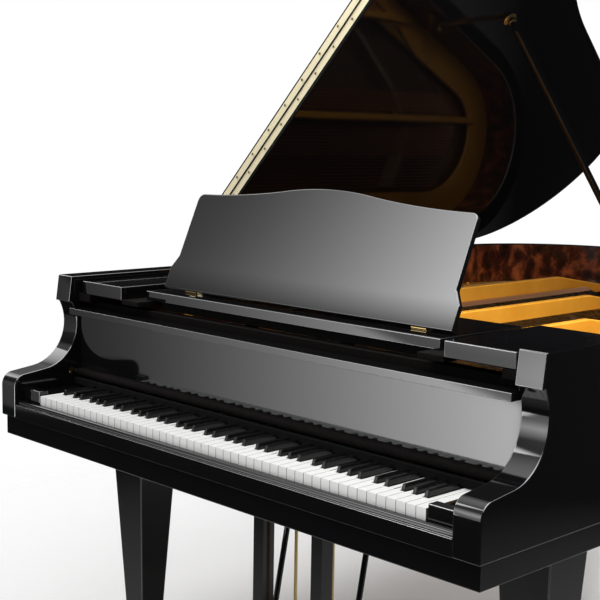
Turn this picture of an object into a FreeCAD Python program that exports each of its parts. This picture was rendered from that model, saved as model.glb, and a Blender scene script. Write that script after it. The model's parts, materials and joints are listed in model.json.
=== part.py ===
import FreeCAD, Part

import math
import os

import Sketcher

# A grand piano with its lid open, its front flap folded back and its music desk raised.
# The case is laid out with X = 0 at the middle of the keyboard, Y = 0 at the front of the
# white keys and Z = 0 on the floor. case_x and case_y then carry every piece so that the
# origin lies under the middle of the open instrument.

Vector = FreeCAD.Vector

DIMENSIONS = {
    # Case
    "case_x": 22.0,
    "case_y": -1074.5,
    "case_width": 1501.0,
    "rim_thick": 61.0,
    "rim_top": 341,
    "rim_bottom": 661.0,
    "treble_straight": 608.5,
    "tail_corner_radius": 417.0,
    "tail_radius": 300.0,
    "waist_radius": 1400.0,
    "bend_radius": 640.0,
    "cut_over": 20.0,
    "seat_gap": 0.3,
    # Front arms
    "nose_reach": 24.0,
    "nose_height": 76.0,
    "nose_radius": 31.0,
    "nose_end": 2.7,
    "nose_top": 106.7,
    "sweep_start": 67.0,
    "sweep_low": 114.5,
    "sweep_deep": 159.5,
    "sweep_middle": 221.0,
    "sweep_end": 144.4,
    "block_bottom": 276.0,
    "block_lip": 136.0,
    "block_top": 145.0,
    # Keybed, slip and key blocks
    "keybed_thick": 49.0,
    "keybed_inset": 6.0,
    "keybed_reach": 14.0,
    "keybed_depth": 430.0,
    "slip_height": 44.0,
    "slip_step": 33.0,
    "slip_bead": 7.0,
    "slip_back": 5.0,
    "block_gap": 3.7,
    "key_block_depth": 150.0,
    "key_block_front": 25.0,
    "key_block_high": 10.0,
    "key_block_low": 2.0,
    # Keys
    "key_top": 64,
    "key_pitch": 23.55,
    "key_slit": 1.0,
    "key_head": 50.0,
    "key_length": 470.0,
    "key_thick": 23.0,
    "sharp_front": 48.0,
    "sharp_back": 143.0,
    "sharp_high": 12.0,
    "sharp_width": 10.0,
    "sharp_slope": 4.0,
    "key_balance": 215.0,
    # Key frame and action
    "frame_rail_thick": 19.0,
    "front_rail_start": 10.0,
    "front_rail_width": 50.0,
    "balance_rail_width": 30.0,
    "balance_round": 8.0,
    "back_rail_start": 400.0,
    "back_rail_width": 40.0,
    "frame_end_inner": 622.0,
    "frame_end_outer": 655.0,
    "bracket_inner": 628.0,
    "bracket_thick": 24.0,
    "bracket_start": 285.0,
    "bracket_end": 450.0,
    "bracket_top": 139,
    "hammer_rail_start": 295.0,
    "hammer_rail_width": 25.0,
    "hammer_rail_high": 9.0,
    "wippen_rail_start": 415.0,
    "wippen_rail_width": 28.0,
    "wippen_rail_low": 87,
    "wippen_rail_high": 22.0,
    "wippen_width": 7.0,
    "wippen_start": 325.0,
    "wippen_high": 14.0,
    "shank_radius": 3.0,
    "hammer_width": 7.0,
    "hammer_start": 455.0,
    "hammer_deep": 28.0,
    "hammer_top": 219,
    # Fallboard and nameboard
    "fall_pivot_y": 163.0,
    "fall_pivot_high": 31.0,
    "fall_bead": 11.0,
    "fall_face": 167.0,
    "fall_thick": 16.0,
    "fall_end_gap": 3.0,
    "fall_lip_low": 182.0,
    "fall_lip_high": 198.0,
    "fall_lip_front": 134.0,
    "fall_pin_radius": 4.0,
    "fall_plate_radius": 9.0,
    "fall_plate_thick": 1.5,
    "nameboard_front": 186.0,
    "nameboard_thick": 12.0,
    "nameboard_low": 16.0,
    "nameboard_high": 100.0,
    "stretcher_thick": 32.0,
    "stretcher_low": 75.0,
    "stretcher_high": 212.0,
    # Music desk
    "shelf_half": 462.0,
    "shelf_front": 208.0,
    "shelf_back": 470.0,
    "shelf_low": 300,
    "shelf_thick": 22.4,
    "shelf_slot_half": 15.0,
    "shelf_slot_front": 252.0,
    "shelf_slot_back": 440.0,
    "side_block_inner": 506.0,
    "side_block_outer": 672.0,
    "side_block_front": 165.0,
    "side_block_low": 297,
    "side_block_top": 330,
    "runner_inner": 440.0,
    "runner_low": 287,
    "cleat_inner": 640.0,
    "cleat_low": 277,
    "desk_axis_y": 265.0,
    "desk_axis_high": 3.3,
    "desk_thick": 12.0,
    "desk_half": 452.5,
    "desk_neck": 434.5,
    "desk_height": 279.0,
    "desk_shoulder": 247.7,
    "desk_gap": 0.6,
    "desk_hinge_x": 360.0,
    "desk_hinge_half": 20.0,
    "desk_hinge_radius": 2.7,
    "strut_half": 11.0,
    "strut_thick": 5.0,
    "strut_length": 146.0,
    "strut_high": 150.0,
    "strut_drop": 3.2,
    # Sound body
    "inner_rim_thick": 45.0,
    "inner_rim_low": 39,
    "soundboard_low": 174,
    "soundboard_thick": 9.0,
    "belly_start": 520.0,
    "belly_thick": 40.0,
    "post_width": 70.0,
    "post_high": 80.0,
    "rib_width": 24.0,
    "rib_high": 20.0,
    "rib_pitch": 190.0,
    "rib_start": 640.0,
    "bridge_width": 28.0,
    "pinblock_low": 164,
    "pinblock_thick": 38.0,
    "pinblock_depth": 170.0,
    "pinblock_side": 2.0,
    "veneer_thick": 2.5,
    "veneer_low": 214.5,
    "plate_thick": 12.0,
    "plate_edge_gap": 0.5,
    "plate_flange": 110.0,
    "plate_front": 240.0,
    "plate_web_end": 420.0,
    "plate_bar_width": 22.0,
    "plate_bar_top": 269,
    "plate_bar_front": 395.0,
    "plate_bar_rise": 70.0,
    "plate_bar_fall": 260.0,
    "string_high": 229,
    "string_radius": 0.6,
    "wound_radius": 2.0,
    "string_front": 330.0,
    "pin_radius": 3.5,
    "pin_high": 22.0,
    "pin_row": 22.0,
    "agraffe_radius": 3.0,
    "agraffe_line": 405.0,
    "bolt_radius": 7.0,
    "bolt_high": 8.0,
    "damper_start": 545.0,
    "damper_length": 70.0,
    "damper_width": 6.0,
    "damper_high": 22.0,
    # Lid
    "lid_over": 2.0,
    "lid_gap": 1.0,
    "lid_thick": 25.0,
    "lid_split": 600.0,
    "flap_front": 124.0,
    "flap_hinge_drop": 2.0,
    "flap_hinge_high": 3.0,
    "flap_leaf_thick": 1.5,
    "flap_leaf_high": 21.0,
    "flap_leaf_margin": 4.0,
    "flap_knuckle_radius": 2.4,
    "flap_knuckle_length": 100.0,
    "lid_axis_out": 9.0,
    "lid_axis_high": 0.5,
    "lid_knuckle_radius": 5.5,
    "lid_knuckle_length": 30.0,
    "lid_pin_radius": 2.5,
    "lid_hinge_first": 700.0,
    "lid_hinge_pitch": 460.0,
    "lid_leaf_high": 22.0,
    "lid_leaf_thick": 3.0,
    # Lid prop
    "prop_foot_back": 260.0,
    "prop_foot_in": 22.0,
    "prop_foot_drop": 22.0,
    "prop_touch_past": 202.5,
    "prop_touch_forward": 560.0,
    "prop_touch_drop": 14.0,
    "prop_radius": 10.0,
    "prop_eye_radius": 14.0,
    "prop_eye_half": 5.0,
    "prop_pin_radius": 5.0,
    "prop_ear_thick": 6.0,
    # Legs and casters
    "leg_x": 630.0,
    "leg_y": 331.0,
    "rear_leg_x": -330.0,
    "rear_leg_back": 36.0,
    "leg_top": 126.0,
    "leg_foot": 70.0,
    "leg_foot_high": 95.0,
    "leg_plate_thick": 14.0,
    "leg_plate_over": 14.0,
    "ferrule_radius": 26.0,
    "ferrule_high": 15.0,
    "fork_radius": 20.0,
    "fork_plate": 12.0,
    "fork_cheek": 4.0,
    "fork_gap": 1.0,
    "fork_width": 24.0,
    "wheel_radius": 26.0,
    "wheel_width": 20.0,
    "wheel_trail": 10.0,
    "axle_radius": 4.0,
    # Lyre and pedals
    "lyre_y": 270.0,
    "lyre_head_half": 150.0,
    "lyre_head_deep": 120.0,
    "lyre_head_thick": 30.0,
    "lyre_post_x": 95.0,
    "lyre_post_half": 17.0,
    "pedal_box_half": 150.0,
    "pedal_box_deep": 120.0,
    "pedal_box_low": 80.0,
    "pedal_box_top": 150.0,
    "pedal_slot_half": 85.0,
    "pedal_slot_low": 90.0,
    "pedal_slot_top": 124.0,
    "pedal_pitch": 60.0,
    "pedal_half": 13.0,
    "pedal_thick": 9.0,
    "pedal_axis_y": 290.0,
    "pedal_axis_z": 107.0,
    "pedal_front": 105.0,
    "pedal_back": 350.0,
    "pedal_boss": 8.0,
    "pedal_pin_radius": 4.0,
    "pedal_rod_y": 341.0,
    "pedal_rod_radius": 4.0,
    "pedal_rod_gap": 14.0,
    "brace_radius": 7.0,
    "brace_reach": 85.0,
}

# Angles, in degrees.
LID_OPEN = 46.0
DESK_RAISED = 66.7
STRUT_OPEN = 47.0
BEND_TURN = 50.0
TAIL_TURN = 67.0
CORNER_TURN = 85.0
NOSE_BEND = 139.0

# The keyboard: 88 keys from A to C, as steps of the octave that starts at C.
NOTE_NAMES = ("c", "c_sharp", "d", "d_sharp", "e", "f", "f_sharp", "g", "g_sharp", "a", "a_sharp", "b")
WHITE_STEPS = (0, 2, 4, 5, 7, 9, 11)
KEY_COUNT = 88
WHITE_COUNT = 52
FIRST_STEP = 9

# How far in and down the slip's bead bends, as shares of its depth and height.
SLIP_BEAD_SHARES = (0.12, 0.25)
# Plate bars as shares of half the case width, from bass to treble.
PLATE_BAR_SHARES = (-0.436, 0.007, 0.364, 0.640)
# Where the strings end: places as shares of half the case width and of the spine's length.
STRING_END_SHARES = ((-0.76, 1.02), (-0.44, 1.09), (0.0, 0.90), (0.36, 0.66), (0.64, 0.52), (0.80, 0.40))
STRING_SPAN_SHARES = (-0.75, 0.755)
WOUND_COUNT = 26
DAMPER_COUNT = 68
BRIDGE_END_SHARE = 0.93
BRIDGE_STEP = 8
POST_SHARES = (-0.55, -0.15, 0.25)
BOLT_SHARES = (0.38, 0.50, 0.62, 0.74, 0.86, 0.98)
RIB_COUNT = 7
PIN_ROWS = 3
LID_HINGE_COUNT = 3
# The desk's outline: heights as shares of its height, places across as shares of its half width.
DESK_EAR_SHARES = (0.19, 0.30)
DESK_ROUND_SHARE = 0.3
DESK_SWELL_SHARES = ((0.60, 0.909), (0.33, 0.955))


class Size:
    """A length made of sheet values: its number, and the formula that keeps it bound."""

    def __init__(self, terms):
        self.terms = terms

    def __float__(self):
        return float(sum(DIMENSIONS[name] * times for name, times in self.terms.items()))

    def __add__(self, other):
        terms = dict(self.terms)
        for name, times in other.terms.items():
            terms[name] = terms.get(name, 0.0) + times
        return Size(terms)

    def __mul__(self, number):
        return Size({name: times * number for name, times in self.terms.items()})

    __rmul__ = __mul__

    def __neg__(self):
        return self * -1

    def __sub__(self, other):
        return self + -other

    def __truediv__(self, number):
        return self * (1 / number)

    def formula(self):
        parts = [f"{times:.12g} * dims.{name}" for name, times in self.terms.items() if times]
        return " + ".join(parts) or "0"


def size(name):
    return Size({name: 1.0})


ZERO = Size({})
HALF = size("case_width") / 2
ARM_INNER = HALF - size("rim_thick")
RIM_BOTTOM = size("rim_bottom")
SEAT = size("seat_gap")


def level(name):
    """A height that the sheet gives from the rim's lower edge."""
    return RIM_BOTTOM + size(name)


KEY_TOP = level("key_top")
RIM_TOP = level("rim_top")

doc = FreeCAD.newDocument("grand_piano")
sheet = doc.addObject("Spreadsheet::Sheet", "dims")
for row, (name, value) in enumerate(DIMENSIONS.items(), start=1):
    sheet.set(f"A{row}", name)
    sheet.set(f"B{row}", str(value))
    sheet.setAlias(f"B{row}", name)
doc.recompute()

NODES = []


def bind(item, **sizes):
    for name, value in sizes.items():
        item.setExpression(name.replace("__", "."), value.formula())


def place(item, label):
    """Carry a finished piece from the case's layout to the part's own frame and name its node."""
    item.Label = label
    bind(item, Placement__Base__x=size("case_x"), Placement__Base__y=size("case_y"))
    NODES.append(item)
    return item


def turned(item, label, origin, axis, degrees):
    """The same for a piece that is laid out flat and then turned about its own hinge."""
    item.Label = label
    shift = Vector(float(size("case_x")), float(size("case_y")), 0)
    turn = FreeCAD.Placement(Vector(), FreeCAD.Rotation(axis, degrees), origin)
    item.Placement = FreeCAD.Placement(shift, FreeCAD.Rotation()) * turn
    NODES.append(item)
    return item


def point(x, y, z):
    return Vector(float(x), float(y), float(z))


def box(x, y, z):
    """A block between two sizes along each axis."""
    block = doc.addObject("Part::Box", "block")
    bind(block, Length=x[1] - x[0], Width=y[1] - y[0], Height=z[1] - z[0],
         Placement__Base__x=x[0], Placement__Base__y=y[0], Placement__Base__z=z[0])
    return block


def rod(radius, length, x, y, z, axis="z"):
    """A round bar that starts at a place and runs along one axis."""
    bar = doc.addObject("Part::Cylinder", "bar")
    turns = {"x": (Vector(0, 1, 0), 90), "y": (Vector(1, 0, 0), -90), "z": (Vector(0, 0, 1), 0)}
    bar.Placement.Rotation = FreeCAD.Rotation(*turns[axis])
    bind(bar, Radius=radius, Height=length, Placement__Base__x=x, Placement__Base__y=y, Placement__Base__z=z)
    return bar


def fuse(items):
    whole = doc.addObject("Part::MultiFuse", "fuse")
    whole.Shapes = items
    whole.Refine = True
    return whole


def cut(base, tool):
    rest = doc.addObject("Part::Cut", "cut")
    rest.Base = base
    rest.Tool = tool
    return rest


def common(base, tool):
    shared = doc.addObject("Part::Common", "common")
    shared.Base = base
    shared.Tool = tool
    return shared


def group(items):
    whole = doc.addObject("Part::Compound", "group")
    whole.Links = items
    return whole


def feature(shape):
    item = doc.addObject("Part::Feature", "shape")
    item.Shape = shape
    return item


def plane_of(body, role):
    return next(item for item in body.Origin.OriginFeatures if item.Role == role)


def draw(body, role, offset, loops):
    """A sketch of closed loops. Points are pairs of sizes, and a point after "arc" bends the next stretch."""
    sketch = body.newObject("Sketcher::SketchObject", "sketch")
    sketch.AttachmentSupport = [(plane_of(body, role), "")]
    sketch.MapMode = "FlatFace"
    bind(sketch, AttachmentOffset__Base__z=offset)
    bound = []
    for loop in loops:
        corners = [item for item in loop if item[0] != "arc"]
        bends = {len([one for one in loop[:at] if one[0] != "arc"]) - 1: item
                 for at, item in enumerate(loop) if item[0] == "arc"}
        first = sketch.GeometryCount
        for at, corner in enumerate(corners):
            start = point(*corner, 0)
            end = point(*corners[(at + 1) % len(corners)], 0)
            if at in bends:
                middle = point(*bends[at][1:], 0)
                sketch.addGeometry(Part.Arc(start, middle, end), False)
            else:
                sketch.addGeometry(Part.LineSegment(start, end), False)
        rules = []
        for at, corner in enumerate(corners):
            here = first + at
            before = first + (at - 1) % len(corners)
            end = end_at(sketch, here, corner)
            rules.append(Sketcher.Constraint("Coincident", before, end_at(sketch, before, corner), here, end))
            bound.append((here, end, corner))
        sketch.addConstraint(rules)
    for geometry, end, (across, up) in bound:
        for kind, axis, value in (("DistanceX", -2, across), ("DistanceY", -1, up)):
            if value.terms:
                rule = Sketcher.Constraint(kind, -1, 1, geometry, end, float(value))
                at = sketch.addConstraint(rule)
                sketch.setExpression(f"Constraints[{at}]", value.formula())
            else:
                sketch.addConstraint(Sketcher.Constraint("PointOnObject", geometry, end, axis))
    return sketch


def end_at(sketch, geometry, corner):
    """Which end of a drawn line or arc lies at a corner."""
    return min((1, 2), key=lambda end: sketch.getPoint(geometry, end).distanceToPoint(point(*corner, 0)))


def pad(role, start, end, loops):
    """A solid of one drawn section, from one size to another along the plane's normal."""
    body = doc.addObject("PartDesign::Body", "body")
    sketch = draw(body, role, start, loops)
    solid = body.newObject("PartDesign::Pad", "pad")
    solid.Profile = sketch
    bind(solid, Length=end - start)
    return body


def pocket(body, role, loops):
    """Cut a drawn section right through a solid, both ways."""
    hole = body.newObject("PartDesign::Pocket", "pocket")
    hole.Profile = draw(body, role, ZERO, loops)
    hole.Type = "ThroughAll"
    hole.SideType = "Symmetric"
    return body


def rectangle(x, y):
    return [(x[0], y[0]), (x[1], y[0]), (x[1], y[1]), (x[0], y[1])]


def mirror_x(span):
    return (-span[1], -span[0])


def toward(degrees):
    angle = math.radians(degrees)
    return math.cos(angle), math.sin(angle)


def moved(start, direction, distance):
    return start[0] + distance * direction[0], start[1] + distance * direction[1]


# The bent side, from the straight treble side back to the tail: how far each arc and the straight run go.
RUN_FALL = CORNER_TURN + TAIL_TURN - 90
RUN_SIDE = 90 - RUN_FALL
RUN_ALONG = toward(-RUN_FALL)
BEND = (HALF - size("bend_radius"), size("treble_straight"))
WAIST = moved(BEND, toward(BEND_TURN), size("bend_radius") + size("waist_radius"))
WAIST_START = moved(WAIST, toward(RUN_SIDE), -size("waist_radius"))
TAIL_OFFSET = size("tail_corner_radius") - size("tail_radius")
TAIL_FROM_CORNER = moved((ZERO, ZERO), toward(180 - CORNER_TURN), TAIL_OFFSET)
TAIL_X = size("tail_corner_radius") - HALF + TAIL_FROM_CORNER[0]
RUN = (WAIST_START[0] - TAIL_X - size("tail_radius") * toward(RUN_SIDE)[0]) / RUN_ALONG[0]
TAIL_END = moved(WAIST_START, RUN_ALONG, -RUN)
TAIL = moved(TAIL_END, toward(RUN_SIDE), -size("tail_radius"))
SPINE_END = TAIL[1] - TAIL_FROM_CORNER[1]


def case_chain(inset, front):
    """The case's plan from the bass front, round the tail to the treble front, moved inwards by inset."""
    corner = (size("tail_corner_radius") - HALF, SPINE_END)
    corner_radius = size("tail_corner_radius") - inset
    tail_radius = size("tail_radius") - inset
    waist_radius = size("waist_radius") + inset
    bend_radius = size("bend_radius") - inset
    return [
        (inset - HALF, front),
        (inset - HALF, SPINE_END),
        ("arc", *moved(corner, toward(180 - CORNER_TURN / 2), corner_radius)),
        moved(corner, toward(180 - CORNER_TURN), corner_radius),
        ("arc", *moved(TAIL, toward(180 - CORNER_TURN - TAIL_TURN / 2), tail_radius)),
        moved(TAIL, toward(RUN_SIDE), tail_radius),
        moved(WAIST, toward(RUN_SIDE), -waist_radius),
        ("arc", *moved(WAIST, toward((RUN_SIDE + BEND_TURN) / 2), -waist_radius)),
        moved(WAIST, toward(BEND_TURN), -waist_radius),
        ("arc", *moved(BEND, toward(BEND_TURN / 2), bend_radius)),
        moved(BEND, toward(0), bend_radius),
        (HALF - inset, front),
    ]


def ring(outer, inner, front):
    return [case_chain(outer, front) + case_chain(inner, front)[::-1]]


# Case


def outer_rim():
    """The bent rim, whose two front ends are cut to the arms' swept profile."""
    nose = -size("nose_reach")
    body = pad("XY_Plane", RIM_BOTTOM, RIM_TOP, ring(ZERO, size("rim_thick"), nose))
    over = size("cut_over")
    front = nose - over
    nose_start = RIM_BOTTOM + size("nose_height")
    nose_middle = moved((nose + size("nose_radius"), nose_start), toward(NOSE_BEND), size("nose_radius"))
    profile = [
        (front, nose_start),
        (nose, nose_start),
        ("arc", *nose_middle),
        (size("nose_end"), RIM_BOTTOM + size("nose_top")),
        (size("sweep_start"), RIM_BOTTOM + size("sweep_low")),
        ("arc", size("sweep_deep"), RIM_BOTTOM + size("sweep_middle")),
        (size("sweep_end"), RIM_BOTTOM + size("block_bottom")),
        (size("block_lip"), RIM_BOTTOM + size("block_bottom")),
        (size("block_top"), RIM_TOP),
        (size("block_top"), RIM_TOP + over),
        (front, RIM_TOP + over),
    ]
    place(pocket(body, "YZ_Plane", [profile]), "outer_rim")


def rim_veneer():
    """The figured veneer on the inside of the rim, above the plate."""
    lining = size("rim_thick") + size("veneer_thick")
    place(pad("XY_Plane", level("veneer_low"), RIM_TOP,
              ring(size("rim_thick"), lining, size("shelf_back") + size("rim_thick"))), "rim_veneer")


def keybed_parts():
    side = HALF - size("keybed_inset")
    deep = (-size("keybed_reach"), size("keybed_depth"))
    place(group([box((-side, side), deep, (RIM_BOTTOM - size("keybed_thick"), RIM_BOTTOM))]), "keybed")
    top = RIM_BOTTOM + size("slip_height")
    step = RIM_BOTTOM + size("slip_step")
    front = -size("nose_reach")
    back = -size("slip_back")
    bead = front + size("slip_bead")
    slip = [
        (front, RIM_BOTTOM),
        (front, step),
        (bead, step),
        ("arc", bead + (back - bead) * SLIP_BEAD_SHARES[0], top - (top - step) * SLIP_BEAD_SHARES[1]),
        (bead + (back - bead) / 2, top),
        (back, top),
        (back, RIM_BOTTOM),
    ]
    place(pad("YZ_Plane", -ARM_INNER, ARM_INNER, [slip]), "key_slip")
    inner = size("key_pitch") * (WHITE_COUNT / 2) + size("block_gap")
    high = KEY_TOP + size("key_block_high")
    low = KEY_TOP - size("key_block_low")
    cheek = [
        (ZERO, RIM_BOTTOM),
        (ZERO, high),
        (size("key_block_front"), high),
        (size("key_block_front"), low),
        (size("key_block_depth"), low),
        (size("key_block_depth"), RIM_BOTTOM),
    ]
    blocks = [pad("YZ_Plane", *span, [cheek]) for span in ((inner, ARM_INNER), mirror_x((inner, ARM_INNER)))]
    place(group(blocks), "key_blocks")


def cross_rails():
    """The nameboard behind the fallboard, and the pinblock with the stretcher that ties the arms."""
    front = size("nameboard_front")
    back = front + size("nameboard_thick")
    wide = (-ARM_INNER, ARM_INNER)
    low = KEY_TOP + size("nameboard_low")
    place(group([box(wide, (front, back), (low, KEY_TOP + size("nameboard_high")))]), "nameboard")
    deep = (back, back + size("stretcher_thick"))
    tall = (KEY_TOP + size("stretcher_low"), KEY_TOP + size("stretcher_high"))
    side = ARM_INNER - size("pinblock_side")
    block = (level("pinblock_low"), level("pinblock_low") + size("pinblock_thick"))
    place(group([
        box(wide, deep, tall),
        box((-side, side), (deep[1], deep[1] + size("pinblock_depth")), block),
    ]), "pinblock")


def sound_body():
    """The inner rim with its belly rail and posts, and the soundboard with its ribs and bridges."""
    low = level("inner_rim_low")
    board = level("soundboard_low")
    belly_end = size("belly_start") + size("belly_thick")
    inside = size("rim_thick") + size("inner_rim_thick") + SEAT
    far = SPINE_END + size("tail_corner_radius")

    def clipped(items, span):
        room = pad("XY_Plane", *span, [case_chain(inside, size("belly_start"))])
        return group([common(item, room) for item in items])

    wide = (-HALF, HALF)
    beams = [box(wide, (size("belly_start"), belly_end), (low, board))]
    for share in POST_SHARES:
        middle = HALF * share
        half = size("post_width") / 2
        beams.append(box((middle - half, middle + half), (belly_end, far), (low, low + size("post_high"))))
    shelf = pad("XY_Plane", low, board, ring(size("rim_thick"), inside - SEAT, size("belly_start")))
    place(group([shelf, clipped(beams, (low, board))]), "inner_rim")
    edge = size("rim_thick") + SEAT
    top = board + size("soundboard_thick")
    panel = pad("XY_Plane", board, top, [case_chain(edge, size("belly_start"))])
    ribs = []
    for count in range(RIB_COUNT):
        start = size("rib_start") + size("rib_pitch") * count
        ribs.append(box(wide, (start, start + size("rib_width")), (board - size("rib_high"), board)))
    place(group([panel, clipped(ribs, (board - size("rib_high"), board)), bridges()]), "soundboard")


def string_end(x_share):
    """How far back a string at this share of the half width runs."""
    for (x_0, y_0), (x_1, y_1) in zip(STRING_END_SHARES, STRING_END_SHARES[1:]):
        if x_0 <= x_share <= x_1:
            return SPINE_END * (y_0 + (y_1 - y_0) * (x_share - x_0) / (x_1 - x_0))
    return SPINE_END * STRING_END_SHARES[-1][1]


def string_places():
    """One place for each note, spread evenly over the spaces between the plate's bars."""
    clear_share = float(size("plate_bar_width")) / float(HALF)
    edges = [STRING_SPAN_SHARES[0]]
    for share in PLATE_BAR_SHARES:
        edges += [share - clear_share, share + clear_share]
    edges.append(STRING_SPAN_SHARES[1])
    bays = list(zip(edges[::2], edges[1::2]))
    room = sum(high - low for low, high in bays)
    places = []
    for note in range(KEY_COUNT):
        along = room * (note + 0.5) / KEY_COUNT
        for low, high in bays:
            if along <= high - low:
                places.append(low + along)
                break
            along -= high - low
    return places


def string_radius(note):
    return size("wound_radius") if note < WOUND_COUNT else size("string_radius")


def bridges():
    """The bass and treble bridges, parted where the plate's bars pass over."""
    places = string_places()
    low = level("pinblock_low") + size("pinblock_thick")
    high = level("string_high")
    half = size("bridge_width") / 2
    bridge_low = level("soundboard_low") + size("soundboard_thick")
    bridge_high = high - size("wound_radius") - SEAT
    ridges = []
    for first, last in ((0, WOUND_COUNT), (WOUND_COUNT, KEY_COUNT)):
        line = [(HALF * share, string_end(share) * BRIDGE_END_SHARE - size("plate_flange"))
                for share in places[first:last:BRIDGE_STEP] + [places[last - 1]]]
        front = [point(x, y - half, bridge_low) for x, y in line]
        back = [point(x, y + half, bridge_low) for x, y in reversed(line)]
        face = Part.Face(Part.makePolygon(front + back + front[:1]))
        ridges.append(face.extrude(Vector(0, 0, float(bridge_high - bridge_low))))
    clear = size("plate_bar_width")
    gaps = [box((HALF * share - clear, HALF * share + clear),
                (size("plate_bar_front"), SPINE_END * 2), (low - SEAT, high))
            for share in PLATE_BAR_SHARES]
    return cut(feature(Part.Compound(ridges)), group(gaps))


def plate_parts():
    """The cast plate with its bars, and what stands on it: pins, agraffes, bolts and strings."""
    low = level("pinblock_low") + size("pinblock_thick")
    top = low + size("plate_thick")
    edge = size("rim_thick") + size("plate_edge_gap")
    hole = edge + size("plate_flange")
    web = pad("XY_Plane", low, top, [case_chain(edge, size("plate_front"))])
    pocket(web, "XY_Plane", [case_chain(hole, size("plate_web_end"))])
    bars = []
    for share in PLATE_BAR_SHARES:
        middle = HALF * share
        half = size("plate_bar_width") / 2
        start = size("plate_bar_front")
        end = string_end(share) + size("plate_flange")
        wall = [
            (start, low),
            (start, top),
            (start + size("plate_bar_rise"), level("plate_bar_top")),
            (end - size("plate_bar_fall"), level("plate_bar_top")),
            (end, top + size("plate_thick")),
            (end, low),
        ]
        bars.append(pad("YZ_Plane", middle - half, middle + half, [wall]))
    clear = edge + size("veneer_thick")
    reach = pad("XY_Plane", low, level("plate_bar_top"), [case_chain(clear, size("plate_front"))])
    place(fuse([web, common(group(bars), reach)]), "plate")

    places = string_places()
    high = level("string_high")
    pins, agraffes, strings = [], [], []
    for note, share in enumerate(places):
        radius = string_radius(note)
        x = HALF * share
        pin_y = size("string_front") - size("pin_row") * (note % PIN_ROWS)
        pins.append(Part.makeCylinder(float(size("pin_radius")), float(size("pin_high")),
                                      point(x + size("pin_radius") + radius, pin_y, top)))
        under = high - radius - SEAT
        agraffes.append(Part.makeCylinder(float(size("agraffe_radius")), float(under - top),
                                          point(x, size("agraffe_line"), top)))
        end = string_end(share)
        strings.append(Part.makeCylinder(float(radius), float(end - pin_y), point(x, pin_y, high),
                                         Vector(0, 1, 0)))
    place(feature(Part.Compound(pins)), "tuning_pins")
    place(feature(Part.Compound(strings)), "strings")

    bolts = []
    inset = edge + size("plate_flange") / 4
    for share in BOLT_SHARES:
        y = SPINE_END * share
        bolts.append(rod(size("bolt_radius"), size("bolt_high"), inset - HALF, y, top))
    place(group(bolts + [feature(Part.Compound(agraffes))]), "plate_fittings")


def dampers():
    blocks = []
    for note, share in enumerate(string_places()[:DAMPER_COUNT]):
        x = HALF * share
        half = size("damper_width") / 2
        low = level("string_high") + string_radius(note) + SEAT
        start = size("damper_start")
        blocks.append(Part.makeBox(float(half * 2), float(size("damper_length")), float(size("damper_high")),
                                   point(x - half, start, low)))
    place(feature(Part.Compound(blocks)), "dampers")


# Keyboard and action


def key_places():
    """Each key's number, its step in the octave and its octave's left edge."""
    octave = size("key_pitch") * len(WHITE_STEPS)
    first = -size("key_pitch") * (WHITE_COUNT / 2) - size("key_pitch") * WHITE_STEPS.index(FIRST_STEP)
    for number in range(KEY_COUNT):
        turns, step = divmod(number + FIRST_STEP, len(NOTE_NAMES))
        yield number, step, first + octave * turns


def block_shape(x, y, z):
    return Part.makeBox(float(x[1] - x[0]), float(y[1] - y[0]), float(z[1] - z[0]), point(x[0], y[0], z[0]))


def key_shape(number, step, left):
    """A white key is cut away beside its sharps, so the two end keys keep one straight side."""
    slit = size("key_slit") / 2
    tail_width = size("key_pitch") * (len(WHITE_STEPS) / len(NOTE_NAMES))
    tail = (left + tail_width * step + slit, left + tail_width * (step + 1) - slit)
    low = KEY_TOP - size("key_thick")
    tall = (low, KEY_TOP)
    if step in WHITE_STEPS:
        place_x = left + size("key_pitch") * WHITE_STEPS.index(step)
        wide = (place_x + slit, place_x + size("key_pitch") - slit)
        head = block_shape(wide, (ZERO, size("key_head")), tall)
        start = wide[0] if number == 0 else max(tail[0], wide[0], key=float)
        end = wide[1] if number == KEY_COUNT - 1 else min(tail[1], wide[1], key=float)
        stick = block_shape((start, end), (size("key_head"), size("key_length")), tall)
        return head.fuse(stick).removeSplitter()
    middle = (tail[0] + tail[1]) / 2
    half = size("sharp_width") / 2
    front = size("sharp_front") + size("key_slit") * 3
    stick = block_shape((middle - half, middle + half), (front, size("key_length")), tall)
    high = KEY_TOP + size("sharp_high")
    side = [
        (front, KEY_TOP),
        (front + size("sharp_slope"), high),
        (size("sharp_back"), high),
        (size("sharp_back"), KEY_TOP),
    ]
    corners = [point(middle - half, y, z) for y, z in side]
    cap = Part.Face(Part.makePolygon(corners + corners[:1])).extrude(Vector(float(half * 2), 0, 0))
    return stick.fuse(cap).removeSplitter()


def keys():
    """All keys of one note name share a node, so within any octave each key moves by itself."""
    for step, name in enumerate(NOTE_NAMES):
        shapes = [key_shape(*key) for key in key_places() if key[1] == step]
        place(feature(Part.Compound(shapes)), f"keys_{name}")


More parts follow.
